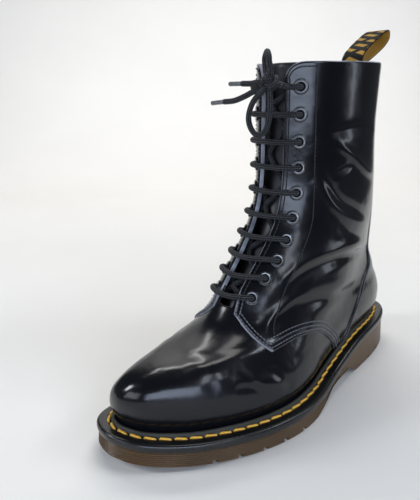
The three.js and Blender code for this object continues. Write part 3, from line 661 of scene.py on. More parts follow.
# side, points as shares of length and height, depth, width, ridge, which side of the line the ridge lies on
FOLDS = [
    (1, [(0.072, 0.794), (0.097, 0.806), (0.137, 0.814), (0.191, 0.816), (0.26, 0.8)], 1.5, 4.2, 0.0, 1),
    (1, [(0.07, 0.79), (0.109, 0.763), (0.149, 0.735), (0.222, 0.683), (0.29, 0.66)], -1.9, 3.8, 0.0, 1),
    (1, [(0.085, 0.683), (0.105, 0.694), (0.13, 0.705), (0.15, 0.712)], 1.0, 2.8, 0.6, -1),
    (1, [(0.056, 0.7), (0.08, 0.656), (0.113, 0.609), (0.18, 0.565), (0.304, 0.506)], 1.7, 4.2, 1.4, -1),
    (1, [(0.105, 0.54), (0.16, 0.497), (0.23, 0.47), (0.33, 0.43)], 1.0, 4.6, 0.7, -1),
    (1, [(-0.075, 0.375), (-0.056, 0.393), (-0.022, 0.414), (0.031, 0.427), (0.133, 0.427), (0.25, 0.405),
         (0.36, 0.37)], 2.2, 4.6, 1.5, 1),
    (1, [(-0.155, 0.277), (-0.14, 0.3), (-0.117, 0.322), (-0.084, 0.345), (-0.054, 0.358), (-0.01, 0.36)],
     -1.3, 3.2, 0.0, 1),
    (1, [(-0.06, 0.325), (0.015, 0.328), (0.088, 0.315), (0.212, 0.29), (0.31, 0.29)], 1.3, 5.5, 0.6, 1),
    (1, [(-0.285, 0.18), (-0.253, 0.178), (-0.223, 0.16), (-0.192, 0.131)], 0.7, 3.4, 0.5, 1),
    (1, [(-0.258, 0.222), (-0.243, 0.203), (-0.228, 0.175), (-0.222, 0.14)], 0.4, 2.6, 0.3, 1),
    (1, [(-0.206, 0.204), (-0.181, 0.198), (-0.154, 0.169), (-0.129, 0.126)], 0.8, 4.0, 0.6, -1),
    (1, [(-0.35, 0.252), (-0.345, 0.238), (-0.335, 0.21), (-0.325, 0.17)], 0.25, 5.0, 0.15, 1),
    (1, [(-0.305, 0.262), (-0.311, 0.247), (-0.321, 0.214), (-0.31, 0.175)], 0.3, 4.2, 0.15, -1),
    (-1, [(0.07, 0.8), (0.12, 0.77), (0.2, 0.74), (0.28, 0.75)], 1.4, 4.6, 0.8, 1),
    (-1, [(0.05, 0.68), (0.11, 0.63), (0.18, 0.59), (0.29, 0.55)], 1.7, 4.6, 1.2, -1),
    (-1, [(-0.07, 0.38), (-0.01, 0.42), (0.08, 0.43), (0.2, 0.415), (0.35, 0.375)], 2.2, 4.8, 1.4, 1),
    (-1, [(-0.15, 0.285), (-0.11, 0.325), (-0.06, 0.35), (0.0, 0.35)], -1.2, 3.4, 0.0, 1),
    (-1, [(-0.275, 0.255), (-0.27, 0.23), (-0.262, 0.2), (-0.245, 0.13)], 0.8, 3.8, 0.5, 1),
    (-1, [(-0.215, 0.25), (-0.205, 0.21), (-0.19, 0.15), (-0.17, 0.1)], 0.8, 4.0, 0.5, -1),
    (-1, [(-0.33, 0.23), (-0.325, 0.21), (-0.31, 0.16)], 0.4, 4.0, 0.25, 1)]
RIDGE_PLACE, RIDGE_WIDTH, FOLD_REACH, FOLD_FADE = 1.7, 1.1, 4.5, 0.7
EYELET_QUIET, EYELET_CALM = 6, 8


def fold_line(side, points):
    u, t = locate(side_line(points, 22), side, lift=0.0)
    return on_last(u, t), outward(u, t)


FOLD_LINES = [(*fold_line(side, points), *sizes) for side, points, *sizes in FOLDS]
EYELET_POINTS = np.array([on_last(on_side(u, side), t) for t, u in EYELETS for side in (1, -1)])


def fold_height(points):
    """How far the folds lift or sink the leather at these points; near an eyelet it lies flat."""
    flat = points.reshape(-1, 3)
    height = np.zeros(len(flat))
    for line, line_normal, depth, width, ridge, flank in FOLD_LINES:
        reach = FOLD_REACH * width
        near = np.all((flat > line.min(axis=0) - reach) & (flat < line.max(axis=0) + reach), axis=1)
        if not near.any():
            continue
        here = flat[near]
        start, step = line[:-1], np.diff(line, axis=0)
        along = np.clip(((here[:, None] - start) * step).sum(-1) / (step ** 2).sum(-1), 0, 1)
        away_from = here[:, None] - start - along[..., None] * step
        distance = np.linalg.norm(away_from, axis=-1)
        best = distance.argmin(axis=1)
        k = np.arange(len(here))
        d, at = distance[k, best], (best + along[k, best]) / len(start)
        across = np.cross(line_normal[best], step[best])
        signed = np.sign((away_from[k, best] * across).sum(-1)) * flank * d
        taper = np.sin(math.pi * np.clip(at, 0, 1)) ** FOLD_FADE
        trough = -depth * np.exp(-(d / width) ** 2)
        raised = ridge * np.exp(-((signed - RIDGE_PLACE * width) / (RIDGE_WIDTH * width)) ** 2)
        height[near] += taper * (trough + raised)
    quiet = np.ones(len(flat))
    for place in EYELET_POINTS:
        quiet = np.minimum(quiet, smooth((np.linalg.norm(flat - place, axis=1) - EYELET_QUIET) / EYELET_CALM))
    return (height * quiet).reshape(points.shape[:-1])


def skin(u, t, distance):
    """The dressed surface: the last, a layer's distance over it, and the folds."""
    u, t, distance = np.broadcast_arrays(*(np.asarray(value, float) for value in (u, t, distance)))
    base, normal = on_last(u, t), outward(u, t)
    grown = np.where(distance > 0, distance * smooth(t - 1), distance)
    return base + normal * (grown + fold_height(base))[..., None]


def skin_frame(u, t, distance):
    here = skin(u, t, distance)
    round_it = skin(u + 1e-3, t, distance) - skin(u - 1e-3, t, distance)
    up_it = skin(u, t + 0.02, distance) - skin(u, t - 0.02, distance)
    return here, unit(np.cross(round_it, up_it))


print("folds:", len(FOLD_LINES))

# %% [markdown]
# The quarter is the panel that wraps the ankle and carries the eyelets. Its front edge runs down the
# facing to a point over the instep, its lower edge sweeps back in an arch to the welt. The grid is
# stretched between those four edges, so the cut edge of the leather is exactly where the pattern says.

# %% Edges of the panels
QUARTER_FRONT = [(-0.193, 0.345), (-0.1925, 0.325), (-0.1915, 0.305), (-0.188, 0.282), (-0.179, 0.263),
                 (-0.165, 0.243)]
QUARTER_ARCH = [(-0.165, 0.243), (-0.131, 0.247), (-0.106, 0.25), (-0.08, 0.251), (-0.042, 0.247),
                (0.003, 0.234), (0.035, 0.212), (0.061, 0.187), (0.093, 0.148), (0.115, 0.11)]
COUNTER_EDGE = [(0.164, 0.13), (0.197, 0.193), (0.221, 0.22), (0.249, 0.248), (0.281, 0.274), (0.318, 0.307),
                (0.356, 0.334), (0.372, 0.37), (0.368, 0.45), (0.355, 0.6), (0.342, 0.8), (0.35, 0.985)]
REAR_U = 0.4975
# The front edge ends at this point of the left border, the arch at this point of the bottom border
FRONT_LAST, ARCH_LAST = 18, 39
# Distance in from a cut edge, and height below the leather's face, of the grid lines that round the edge
CUT_INSETS = np.array([0.0, 0.0, 0.2, 0.8, 1.6, 2.6])
CUT_DROPS = np.array([0.85, 0.55, 0.24, 0.06, 0.0])


def gap_at(t):
    return FACING_GAP * mix(0.8, 1, smooth((t - THROAT_BASE) / 3))


def by_length(u, t, shares):
    """Points of a line of u and t at shares of its length, and that length; a number asks for even shares."""
    run = run_along(on_last(u, t))
    at = (np.linspace(0, 1, shares) if np.isscalar(shares) else shares) * run[-1]
    return np.interp(at, run, u), np.interp(at, run, t), run[-1]


def corner_arc(side):
    """The rounded top corner of the facing."""
    angle = np.linspace(math.pi, math.pi / 2, 12)
    x = LEG_AXIS_X + side * (gap_at(COLLAR_RING) / 2 + FACING_CORNER * (1 + np.cos(angle)))
    z = COLLAR_HEIGHT - FACING_CORNER * (1 - np.sin(angle))
    u, t = locate(np.stack([x, z], axis=1), side, axes=(0, 2), high=0.2)
    return np.array([u, np.minimum(t, COLLAR_RING)])


def quarter_edges(side):
    """Left, right, bottom and top border of a quarter, each a row of u over a row of t."""
    arc = corner_arc(side)
    facing_t = np.linspace(THROAT_BASE + 0.35, arc[1, 0], 60)
    facing = np.array([on_side(facing_u(facing_t, gap_at(facing_t) / 2), side), facing_t])
    front = locate(side_line(QUARTER_FRONT, 20)[::-1], side)
    arch = locate(side_line(QUARTER_ARCH, ARCH_LAST + 1), side)
    rear = on_side(REAR_U, side)
    foot_t = arch[1, -1] * (1 - smooth(np.linspace(0, 1, 30) * 6)) + 0.02
    foot = np.array([np.linspace(arch[0, -1], rear, 30), foot_t])
    top = np.array([np.linspace(arc[0, -1], rear, 50), np.full(50, COLLAR_RING)])
    return (np.hstack([front[:, :FRONT_LAST], facing]),
            np.array([np.full(60, rear), np.linspace(foot_t[-1], COLLAR_RING, 60)]),
            np.hstack([arch, foot[:, 1:]]),
            np.hstack([arc, top[:, 1:]]))


def border_shares(length, count, low=True, high=False):
    """Shares along a border, closer together near a cut edge."""
    inner = np.linspace(0, 1, count)
    shares = CUT_INSETS / length
    first = shares[-1] * 1.4 if low else -1
    last = 1 - shares[-1] * 1.4 if high else 2
    return np.concatenate([shares if low else [], inner[(inner > first) & (inner < last)],
                           1 - shares[::-1] if high else []])


QUARTER_EDGES = {side: quarter_edges(side) for side in (1, -1)}
for side, (left, right, bottom, top) in QUARTER_EDGES.items():
    print("quarter", side, "corner", np.round(on_last(*left[:, 0]), 1),
          "meets welt", np.round(on_last(*bottom[:, ARCH_LAST]), 1))

# %% The two quarters
HOLE_RADIUS = 4.1
FOOT_TUCK = -0.6


def cut_profile(count, foot, face, low=True, high=False):
    """Heights of the grid lines across a panel, rounded down to the foot at its cut edges."""
    heights = np.full(count, face)
    fall = np.concatenate([[foot], face - CUT_DROPS])
    if low:
        heights[:len(fall)] = fall
    if high:
        heights[-len(fall):] = fall[::-1]
    return heights


def cut_faces(shape, row_spans, column_spans=()):
    """Marks on the faces of a grid that lie on its cut edges."""
    flags = np.zeros((shape[0] - 1, shape[1] - 1), bool)
    for first, last in row_spans:
        flags[first:last] = True
    for first, last in column_spans:
        flags[:, first:last] = True
    return flags


def blend(left, right, bottom, top, across, up):
    """Values inside a patch from those along its four borders; the left border is felt only near it."""
    A, B = np.meshgrid(across, up)
    F = (1 - A) ** 3
    return (F * left[:, None] + (1 - F) * right[:, None] + (1 - B) * bottom[None] + B * top[None]
            - F * (1 - B) * bottom[0] - (1 - F) * (1 - B) * bottom[-1]
            - F * B * top[0] - (1 - F) * B * top[-1])


def punch(piece, places, radius):
    """Open a round hole in a panel by taking out the faces round each place."""
    centres = face_centres(piece)
    hit = np.zeros(len(centres), bool)
    for place in places:
        hit |= np.linalg.norm(centres - place, axis=1) < radius
    select_only(piece)
    bpy.ops.object.mode_set(mode="EDIT")
    bpy.ops.mesh.select_mode(type="FACE")
    bpy.ops.mesh.select_all(action="DESELECT")
    bpy.ops.object.mode_set(mode="OBJECT")
    piece.data.polygons.foreach_set("select", hit)
    bpy.ops.object.mode_set(mode="EDIT")
    bpy.ops.mesh.delete(type="FACE")
    bpy.ops.object.mode_set(mode="OBJECT")
    print(piece.name, "faces out of the eyelet holes", int(hit.sum()))


across, up = border_shares(175.0, 150), border_shares(200.0, 165, high=True)
for side, word in SIDES:
    borders = [by_length(*line, shares)[:2]
               for line, shares in zip(QUARTER_EDGES[side], (up, up, across, across))]
    u, t = [blend(*values, across, up) for values in zip(*borders)]
    left_d = cut_profile(len(across), -LEATHER, LAP)
    top_d = cut_profile(len(up), -LEATHER, LAP, low=False, high=True)
    foot_d = cut_profile(len(up), FOOT_TUCK, LAP)
    distance = np.minimum(np.minimum(left_d[None], top_d[:, None]), foot_d[:, None])
    quarter = grid_piece(f"quarter_{word}", skin(u, np.clip(t, 0, COLLAR_RING), distance), flip=side < 0)
    finish_piece(quarter, [polished_leather, cut_edge_highlight], ["upper"])
    # The faces round the cut edges get the painted edge highlight
    second_material(quarter, cut_faces(u.shape, [(1, 2), (len(up) - 4, len(up) - 1)], [(0, 4)]))
    punch(quarter, [skin(on_side(u, side), t, LAP) for t, u in EYELETS], HOLE_RADIUS)

# %% [markdown]
# The vamp is one piece of leather pulled over the toe and held under the welt. It runs on under both
# quarters, so its own upper edge is never seen except at the foot of the throat.

# %% Vamp
VAMP_UNDER, VAMP_LEAST = 0.7, 1.2


def vamp_top(u):
    """How far up the vamp reaches: a little under the quarters, and to the foot of the throat."""
    top = np.zeros(u.shape)
    for side in (1, -1):
        left, _, bottom, _ = QUARTER_EDGES[side]
        line_u, line_t = np.hstack([left[:, FRONT_LAST::-1], bottom[:, :ARCH_LAST + 1]])
        order = np.argsort(line_u)
        under = np.interp(u, line_u[order], line_t[order] + VAMP_UNDER)
        this_side = (u < 0.5) == (side > 0)
        before = u < line_u[0] if side > 0 else u > line_u[0]
        top = np.where(this_side, np.where(before, THROAT_BASE, under), top)
    return np.clip(top, VAMP_LEAST, None)


vamp_u = np.linspace(0, 1, 440, endpoint=False)
vamp_share = np.concatenate([np.linspace(0, 0.985, 100), [0.995, 1.0, 1.0]])
vamp_limit = vamp_top(vamp_u)
vamp_limit = np.concatenate([vamp_limit[-2:], vamp_limit, vamp_limit[:2]])
vamp_limit = np.convolve(vamp_limit, np.ones(5) / 5, mode="valid")
vamp_t = vamp_share[:, None] * vamp_limit[None]
vamp_d = np.zeros(vamp_t.shape)
vamp_d[-1] = -LEATHER
vamp = grid_piece("vamp", skin(vamp_u[None], vamp_t, vamp_d), close_round=True)
finish_piece(vamp, [polished_leather], ["upper"])

# %% [markdown]
# The counter wraps the heel and narrows to the backstay, a strip that covers the seam up the back.

# %% Counter and backstay
COUNTER_TUCK = 0.5


def counter_edge(side, shares):
    u, t = locate(side_line(COUNTER_EDGE, 60), side, low=0.28, lift=2 * LAP)
    return by_length(np.concatenate([[u[0], u[0]], u, [u[-1]]]),
                     np.concatenate([[0, t[0] / 2], t, [COLLAR_RING]]), shares)[:2]


counter_rows = border_shares(230.0, 150, low=False, high=True)
counter_share = border_shares(90.0, 90, high=True)
counter_sides = [counter_edge(side, counter_rows) for side in (1, -1)]
counter_u, counter_t = [mix(outer[:, None], inner[:, None], counter_share[None])
                        for outer, inner in zip(*counter_sides)]
side_d = cut_profile(len(counter_share), LAP - COUNTER_TUCK, 2 * LAP, high=True)
top_d = cut_profile(len(counter_rows), -LEATHER, 2 * LAP, low=False, high=True)
counter = grid_piece("counter_and_backstay",
                     skin(counter_u, counter_t, np.minimum(side_d[None], top_d[:, None])))
finish_piece(counter, [polished_leather, cut_edge_highlight], ["upper"])
# The counter's cut edge at the collar gets the painted edge highlight
second_material(counter, cut_faces(counter_u.shape, [(len(counter_rows) - 3, len(counter_rows) - 2)]))

# %% [markdown]
# Inside, a lining follows the wall at the leather's thickness. It is dull and dark, and open at the throat.

# %% Lining
LINING_HOLE = 4.0
CORNER_FROM = 12
arc_u, arc_t = corner_arc(1)
lining_t = np.concatenate([np.linspace(0, THROAT_BASE, 42), np.linspace(THROAT_BASE + 0.02, COLLAR_RING, 56)])
lining_left = np.where(lining_t > THROAT_BASE,
                       facing_u(np.maximum(lining_t, THROAT_BASE), gap_at(lining_t) / 2), 0.0)[:, None]
lining_u = mix(lining_left, 1 - lining_left, np.linspace(0, 1, 180)[None])
ceiling = np.interp(np.minimum(lining_u, 1 - lining_u), arc_u, arc_t)
lining_t = np.broadcast_to(lining_t[:, None], lining_u.shape)
lowered = CORNER_FROM + (lining_t - CORNER_FROM) * (ceiling - CORNER_FROM)
lining_t = np.where(lining_t > CORNER_FROM, lowered, lining_t)
lining = grid_piece("lining", skin(lining_u, lining_t, -LEATHER), flip=True)
punch(lining, [skin(on_side(u, side), t, -LEATHER) for t, u in EYELETS for side in (1, -1)], LINING_HOLE)
finish_piece(lining, [lining_leather], ["upper"])

# %% [markdown]
# Thread is drawn as it is sewn: one tube that runs on top for a stitch and dips under before the next. It
# lies in a narrow bed, a matt black tube that is painted shade for the groove the needle pulls into the
# leather.

# %% Thread
def thread(name, line, normals, pitch, cover, radius, lift, depth, slant=0.0, sides=6, steps=8):
    """A sewn thread along a line of points; cover is the share of each pitch that shows."""
    shoulder, flank = 0.09, 0.16
    run = run_along(line)
    at = np.linspace(0, run[-1], max(int(round(run[-1] / pitch)), 1) * steps + 1)
    points, normal = [np.stack([np.interp(at, run, rows[:, k]) for k in range(3)], axis=1)
                      for rows in (line, normals)]
    normal = unit(normal)
    phase = (np.arange(len(at)) % steps) / steps
    shown = smooth((0.5 * cover + shoulder - np.abs(phase - 0.5)) / flank)
    aside = unit(np.cross(normal, np.gradient(points, axis=0)))
    points = points + normal * (radius * mix(-depth, lift, shown))[:, None]
    points += aside * (slant * (phase - 0.5))[:, None]
    return tube(name, cord_rows(points, radius, normal[0], sides))


def thread_material(name, light, dark, rough):
    material, tree, shader = new_material(name, Roughness=rough, Sheen_Weight=0.1)
    twist = node(tree, "ShaderNodeTexWave", Scale=520.0, Distortion=1.5, bands_direction="DIAGONAL")
    in_place(tree, twist)
    paint(tree, shader, twist.outputs["Fac"], (0.2, dark), (0.7, light))
    bump_from(tree, shader, twist.outputs["Fac"], 0.5, 0.0003)
    return material


yellow_thread = thread_material("welt_thread", (1.0, 0.62, 0.1), (0.62, 0.3, 0.03), 0.45)
dark_thread = thread_material("dark_thread", (0.03, 0.031, 0.037), (0.01, 0.011, 0.014), 0.5)
# The seam thread is dark throughout; this lighter copy is painted highlight, for the rows where the thread
# catches the light
thread_painted_highlight = thread_material("thread_painted_highlight", (0.2, 0.207, 0.235), (0.06, 0.063, 0.075), 0.45)
# Painted shade: a matt black bed that stands for the shadow in each seam's groove
seam_groove_shade, _, _ = new_material("seam_groove_shade", Base_Color=(0.003, 0.003, 0.004, 1), Roughness=0.75)

# %% Seams
STITCH_PITCH, STITCH_COVER, THREAD_RADIUS = 2.8, 0.5, 0.48
BED_RADIUS, BED_SHOWS = 0.9, 0.16
# Distances of the rows from their edges
FACING_ROW, POINT_ROWS, ARCH_ROWS, COUNTER_ROW = 3.4, (1.7, 4.3), (2.6, 5.4, 8.4), 2.4
SECOND_ROW = [(-0.142, 0.268), (-0.137, 0.285), (-0.111, 0.329), (-0.079, 0.384), (-0.041, 0.44),
              (-0.003, 0.496), (0.025, 0.557), (0.035, 0.635), (0.0355, 0.763), (0.033, 0.9), (0.032, 0.975)]


def shift_line(u, t, distance, toward):
    """Move a line sideways over the surface, to the side where u and t change as toward says."""
    place, tangent = on_last(u, t), unit(np.gradient(on_last(u, t), axis=0))
    aside = np.cross(outward(u, t), tangent)
    there = on_last(u + STEP_U * toward[0], t + STEP_T * toward[1]) - place
    target = place + aside * distance * np.sign((aside * there).sum())
    for _ in range(8):
        here = on_last(u, t)
        du, dt = slopes(on_last, u, t, here)
        gap = target - here
        uu, ut, tt = (du * du).sum(-1), (du * dt).sum(-1), (dt * dt).sum(-1)
        pu, pt = (gap * du).sum(-1), (gap * dt).sum(-1)
        scale = uu * tt - ut * ut
        u, t = u + (tt * pu - ut * pt) / scale, np.clip(t + (uu * pt - ut * pu) / scale, 0.02, LAST_RING)
    return u, t


def seam(name, line, material, lift=LAP):
    """A row of stitches on the leather, in its bed of painted shade."""
    u, t, length = by_length(*line, 400)
    place, normal = skin_frame(u, t, lift)
    bed_line = even(place - normal * (BED_RADIUS - BED_SHOWS), max(int(length / 1.2), 4))
    bed = tube(name + "_bed", cord_rows(bed_line, BED_RADIUS, normal[0], 10))
    bed.data.materials.append(seam_groove_shade)
    stitches = thread(name, place, normal, STITCH_PITCH, STITCH_COVER, THREAD_RADIUS, lift=0.8, depth=1.6)
    stitches.data.materials.append(material)
    return [bed, stitches]


for side, word in SIDES:
    left, _, bottom, top = QUARTER_EDGES[side]
    rearward, upward = (side, 0), (0, 1)
    stay = locate(side_line(SECOND_ROW, 60), side)
    reach = np.minimum(top[0], 1 - top[0]) < min(stay[0, -1], 1 - stay[0, -1])
    rim = np.hstack([left[:, FRONT_LAST:], top[:, 1:][:, reach[1:]]])
    sewn = seam(f"facing_{word}", shift_line(*rim, FACING_ROW, rearward), dark_thread)
    sewn += seam(f"stay_{word}", stay, dark_thread)
    for k, inset in enumerate(POINT_ROWS):
        line = shift_line(*left[:, 1:FRONT_LAST + 1], inset, rearward)
        sewn += seam(f"point_{word}_{k}", line, thread_painted_highlight)
    for k, inset in enumerate(ARCH_ROWS):
        line = shift_line(*bottom[:, :ARCH_LAST], inset, upward)
        sewn += seam(f"arch_{word}_{k}", line, thread_painted_highlight)
    back_edge = counter_edge(side, np.linspace(0.02, 0.985, 90))
    sewn += seam(f"counter_{word}", shift_line(*back_edge, COUNTER_ROW, rearward), thread_painted_highlight, 2 * LAP)
    finish_piece(join(f"seams_{word}", sewn))

# %% [markdown]
# The welt is a strip that runs round the boot. Its section holds a rounded lip, a channel for the seam and
# a raised matt band that the upper stands in. One section, swept round the outline, makes all of it.

# %% Welt
WELT_SECTION = [
    (12.5, -6.0), (6.0, -6.0), (1.5, -6.0), (0.7, -5.85), (0.2, -5.35), (0.0, -4.6), (-0.05, -3.2),
    (0.05, -2.0), (0.3, -1.1), (0.8, -0.45), (1.5, -0.1), (2.4, 0.05), (4.2, 0.05), (6.2, 0.0), (6.9, -0.1),
    (7.2, -0.35), (7.45, -0.85), (8.2, -1.05), (8.95, -0.85), (9.2, -0.3), (9.45, 0.1), (9.75, 0.3),
    (9.95, 0.9), (10.15, 1.7), (10.5, 2.15), (11.2, 2.3), (11.9, 2.2), (12.4, 1.9), (12.5, 1.2)]
WELT_POINTS = 420
welt_u = np.linspace(0, 1, WELT_POINTS, endpoint=False)
welt_rows = np.stack([inset_row(welt_u, inset, rise) for inset, rise in WELT_SECTION])
welt = tube("welt_strip", welt_rows, close_up=True)
welt_rubber = grained("welt_rubber", [(0.35, (0.006, 0.006, 0.007)), (0.8, (0.013, 0.013, 0.014))],
                      dict(Pore_Scale=1500.0, Smear_Scale=35.0), [(0.3, (0.2,) * 3), (0.8, (0.4,) * 3)],
                      (0.05, 0.0003), Coat_Weight=0.2, Coat_Roughness=0.15)
welt_band = grained("welt_band", [(0.35, (0.03, 0.03, 0.024)), (0.75, (0.055, 0.054, 0.044))],
                    dict(Pore_Scale=1200.0, Smear_Scale=30.0), None, (0.2, 0.0004), Roughness=0.62)
finish_piece(welt, [welt_rubber, welt_band], ["welt"])

# The band is every face inward of its outer foot and above the channel
BAND_FROM, BAND_ABOVE = 9.6, 0.15
centres = face_centres(welt)
foot = inset_row(welt_u, BAND_FROM)
nearest = np.argmin(((centres[:, None, :2] - foot[None, :, :2]) ** 2).sum(-1), axis=1)
_, foot_out = edge(welt_u[nearest])
inward = ((foot[nearest] - centres)[:, :2] * foot_out[:, :2]).sum(-1)
second_material(welt, (inward > 0) & (centres[:, 2] > lip_at(centres[:, 1]) + BAND_ABOVE))

# %% [markdown]
# The welt's own seam is the thick yellow one, with long stitches that lie a little aslant.

# %% Welt seam
SEAM_POINTS, SEAM_SINK, SEAM_PITCH, SEAM_COVER, SEAM_RADIUS = 700, 0.25, 10.0, 0.72, 0.95
welt_seam = thread("welt_stitches", inset_row(np.linspace(0, 1, SEAM_POINTS), STITCH_INSET, -SEAM_SINK),
                   np.tile([0.0, 0, 1], (SEAM_POINTS, 1)), SEAM_PITCH, SEAM_COVER, SEAM_RADIUS,
                   lift=0.2, depth=2.2, slant=-1.5, sides=8, steps=14)
finish_piece(welt_seam, [yellow_thread])

# %% [markdown]
# The outsole is one moulding: ribbed round the forepart, plain at the heel, hollowed under the waist, with
# a bevel at the back of the heel and open channels between the lugs.

# %% Outsole
SOLE_TOP = LIP_HEIGHT + CLEARANCE
SOLE_POINTS, SOLE_FOOT, SOLE_DRAFT = 420, 0.2, 1.2
RIB_COUNT, RIB_DEPTH, RIB_SHARP, RIB_FROM, RIB_STEPS, RIB_FADE, RIB_LEFT = 7, 0.5, 1.6, 0.08, 6, 0.2, 0.15
TREAD_ROUND, TREAD_ROUND_TO = 0.9, 0.06
HEEL_BEVEL, BEVEL_SLOPE, BEVEL_START = 5.0, 0.78, 0.25
# Shares of the length, and heights of the hollow under the waist
WAIST = np.array([(-0.075, -7.5), (-0.05, 0.875), (0.0, 5.5), (0.045, 9.25), (0.155, 10.0), (0.207, -0.25)])


def sole_base(y):
    waist = np.interp(y, WAIST[:, 0] * SOLE_LENGTH, WAIST[:, 1], left=-9, right=-9)
    back = SOLE_LENGTH / 2 - HEEL_BEVEL
    return np.maximum(np.maximum(spring_at(y), waist), (y - back) * BEVEL_SLOPE - BEVEL_START)


sole_u = np.linspace(0, 1, SOLE_POINTS, endpoint=False)
sole_line, sole_out = edge(sole_u)
ribbed = mix(1, RIB_LEFT, smooth(sole_line[:, 1] / SOLE_LENGTH / RIB_FADE))
sole_rows = []
for share in np.concatenate([[0.0, 0.02, 0.05], np.linspace(RIB_FROM, 1, RIB_COUNT * RIB_STEPS + 1)]):
    rib_phase = (share - RIB_FROM) / (1 - RIB_FROM) * RIB_COUNT
    valley = 0.5 - 0.5 * np.cos(2 * math.pi * rib_phase)
    groove = RIB_DEPTH * valley ** RIB_SHARP if share >= RIB_FROM else 0
    rounded = TREAD_ROUND * (1 - min(share / TREAD_ROUND_TO, 1)) ** 2
    inset = mix(SOLE_FOOT, SOLE_DRAFT, share) + ribbed * groove + rounded
    row = sole_line - sole_out * inset[:, None]
    low, high = spring_at(row[:, 1]), lip_at(row[:, 1]) - SOLE_TOP
    row[:, 2] = np.maximum(mix(low, high, share), sole_base(row[:, 1]))
    sole_rows.append(row)
wall = grid_piece("outsole_wall", np.stack(sole_rows), close_round=True)


def across_sheet(name, ring, count, flip=False):
    """A sheet stretched from side to side inside a closed ring that starts at the toe."""
    half = len(ring) // 2
    outer = ring[:half + 1]
    inner = np.concatenate([ring[:1], ring[:half - 1:-1]])
    return grid_piece(name, mix(outer[:, None], inner[:, None], np.linspace(0, 1, count)[:, None]), flip=flip)


def sealed(name, pieces):
    """Sheets joined along their borders into one closed piece."""
    whole = join(name, pieces)
    weld(whole, WELD_SHEETS)
    outward_faces(whole)
    return whole


outsole = sealed("outsole_moulding", [wall, across_sheet("outsole_tread", sole_rows[0], 40),
                                      across_sheet("outsole_roof", sole_rows[-1], 4, flip=True)])

# Channels between the lugs, cut from both sides; they are shorter where the sole is narrow
LUG_PLACES = [-0.4, -0.348, -0.295, -0.236, -0.18, -0.118, 0.29, 0.355, 0.42]
LUG_REACH = {1: 0.5, -1: 0.46}
LUG_LENGTH, LUG_DEPTH, LUG_GAP, LUG_NARROW, LUG_NARROW_FROM = 0.3, 2.5, 3.5, 0.8, 0.25
channels = []
for along in LUG_PLACES:
    for side, reach in LUG_REACH.items():
        x = side * reach * SOLE_WIDTH * (LUG_NARROW if abs(along) > LUG_NARROW_FROM else 1)
        y = along * SOLE_LENGTH
        bpy.ops.mesh.primitive_cube_add(size=1, location=(x * MM, y * MM, spring_at(y) * MM))
        channel = bpy.context.object
        channel.scale = (LUG_LENGTH * SOLE_WIDTH * MM, LUG_GAP * MM, 2 * LUG_DEPTH * MM)
        bpy.ops.object.transform_apply(location=True, rotation=False, scale=True)
        channels.append(channel)
lug_channels = join("lug_channels", channels)
cut = outsole.modifiers.new("channels", "BOOLEAN")
cut.operation, cut.solver, cut.object = "DIFFERENCE", "EXACT", lug_channels
select_only(outsole)
bpy.ops.object.modifier_apply(modifier=cut.name)
bpy.data.objects.remove(lug_channels)
select_only(outsole)
bpy.ops.object.shade_smooth_by_angle(angle=math.radians(35))

# Smoked rubber: brown where light comes through, nearly black where it is thick
smoked_rubber = grained("smoked_rubber", [(0.3, (0.06, 0.034, 0.015)), (0.75, (0.12, 0.074, 0.036))],
                        dict(Pore_Scale=700.0, Smear_Scale=14.0), None, (0.06, 0.0004), Roughness=0.38,
                        Subsurface_Weight=0.35, Subsurface_Scale=0.006, Subsurface_Radius=(1.0, 0.55, 0.3),
                        Specular_IOR_Level=0.35)
finish_piece(outsole, [smoked_rubber], ["outsole"])

# %% [markdown]
# The insole board lies inside on the sole, with a rounded upper edge. It is only seen from above.

# %% Insole
INSOLE_POINTS = 160
INSOLE_INSET = FEATHER_INSET + LEATHER + 2 * CLEARANCE
# Distance in from the board's edge, and height over its foot; the board is 3 mm thick
INSOLE_SECTION = [(0.0, 0.0), (0.0, 2.4), (0.15, 2.85), (0.7, 3.0)]
insole_u = np.linspace(0, 1, INSOLE_POINTS, endpoint=False)
insole_rows = np.stack([inset_row(insole_u, INSOLE_INSET + inward, CLEARANCE - LIP_HEIGHT + up)
                        for inward, up in INSOLE_SECTION])
insole = sealed("insole_sock", [grid_piece("insole_wall", insole_rows, close_round=True),
                                across_sheet("insole_top", insole_rows[-1], 16),
                                across_sheet("insole_foot", insole_rows[0], 4, flip=True)])
finish_piece(insole, [insole_board], ["insole"])

# %% [markdown]
# The tongue lies behind the lacing. Its two faces are one closed sheet that thins towards its edges.

# %% Tongue
TONGUE_THICKNESS, TONGUE_WIDTH, TONGUE_DEPTH, TONGUE_DROP = 2.4, 46.0, 8.9, 1.0
TONGUE_FOOT, TONGUE_ROUND, TONGUE_BUNCH = 0.8, 0.2, 0.2
tongue_from = THROAT_BASE - 0.6
tongue_to = COLLAR_RING - TONGUE_DROP / (0.18 * COLLAR_HEIGHT)
tongue_t = mix(tongue_from, tongue_to, np.linspace(0, 1, 90) ** 1.2)[:, None]
tongue_half = (TONGUE_WIDTH / 2 * mix(TONGUE_FOOT, 1, smooth((tongue_t - THROAT_BASE) / 3))
               * (1 - TONGUE_ROUND * smooth((tongue_t - tongue_to + TONGUE_ROUND) / TONGUE_ROUND)))
tongue_a = np.linspace(-1, 1, 33)[None]
tongue_u = facing_u(tongue_t, tongue_half) * tongue_a
tongue_depth = mix(LEATHER + 2 * CLEARANCE, TONGUE_DEPTH, smooth((tongue_t - THROAT_BASE + 0.5) / 0.5))
thin = 0.5 * (1 - (1 - np.abs(tongue_a) ** 10) ** 0.5) * TONGUE_THICKNESS
bunch = TONGUE_BUNCH * np.sin(tongue_t * 4.1) * np.cos(tongue_a * 2.2) ** 2
outer_face = off_last(tongue_u, tongue_t, -tongue_depth - thin)
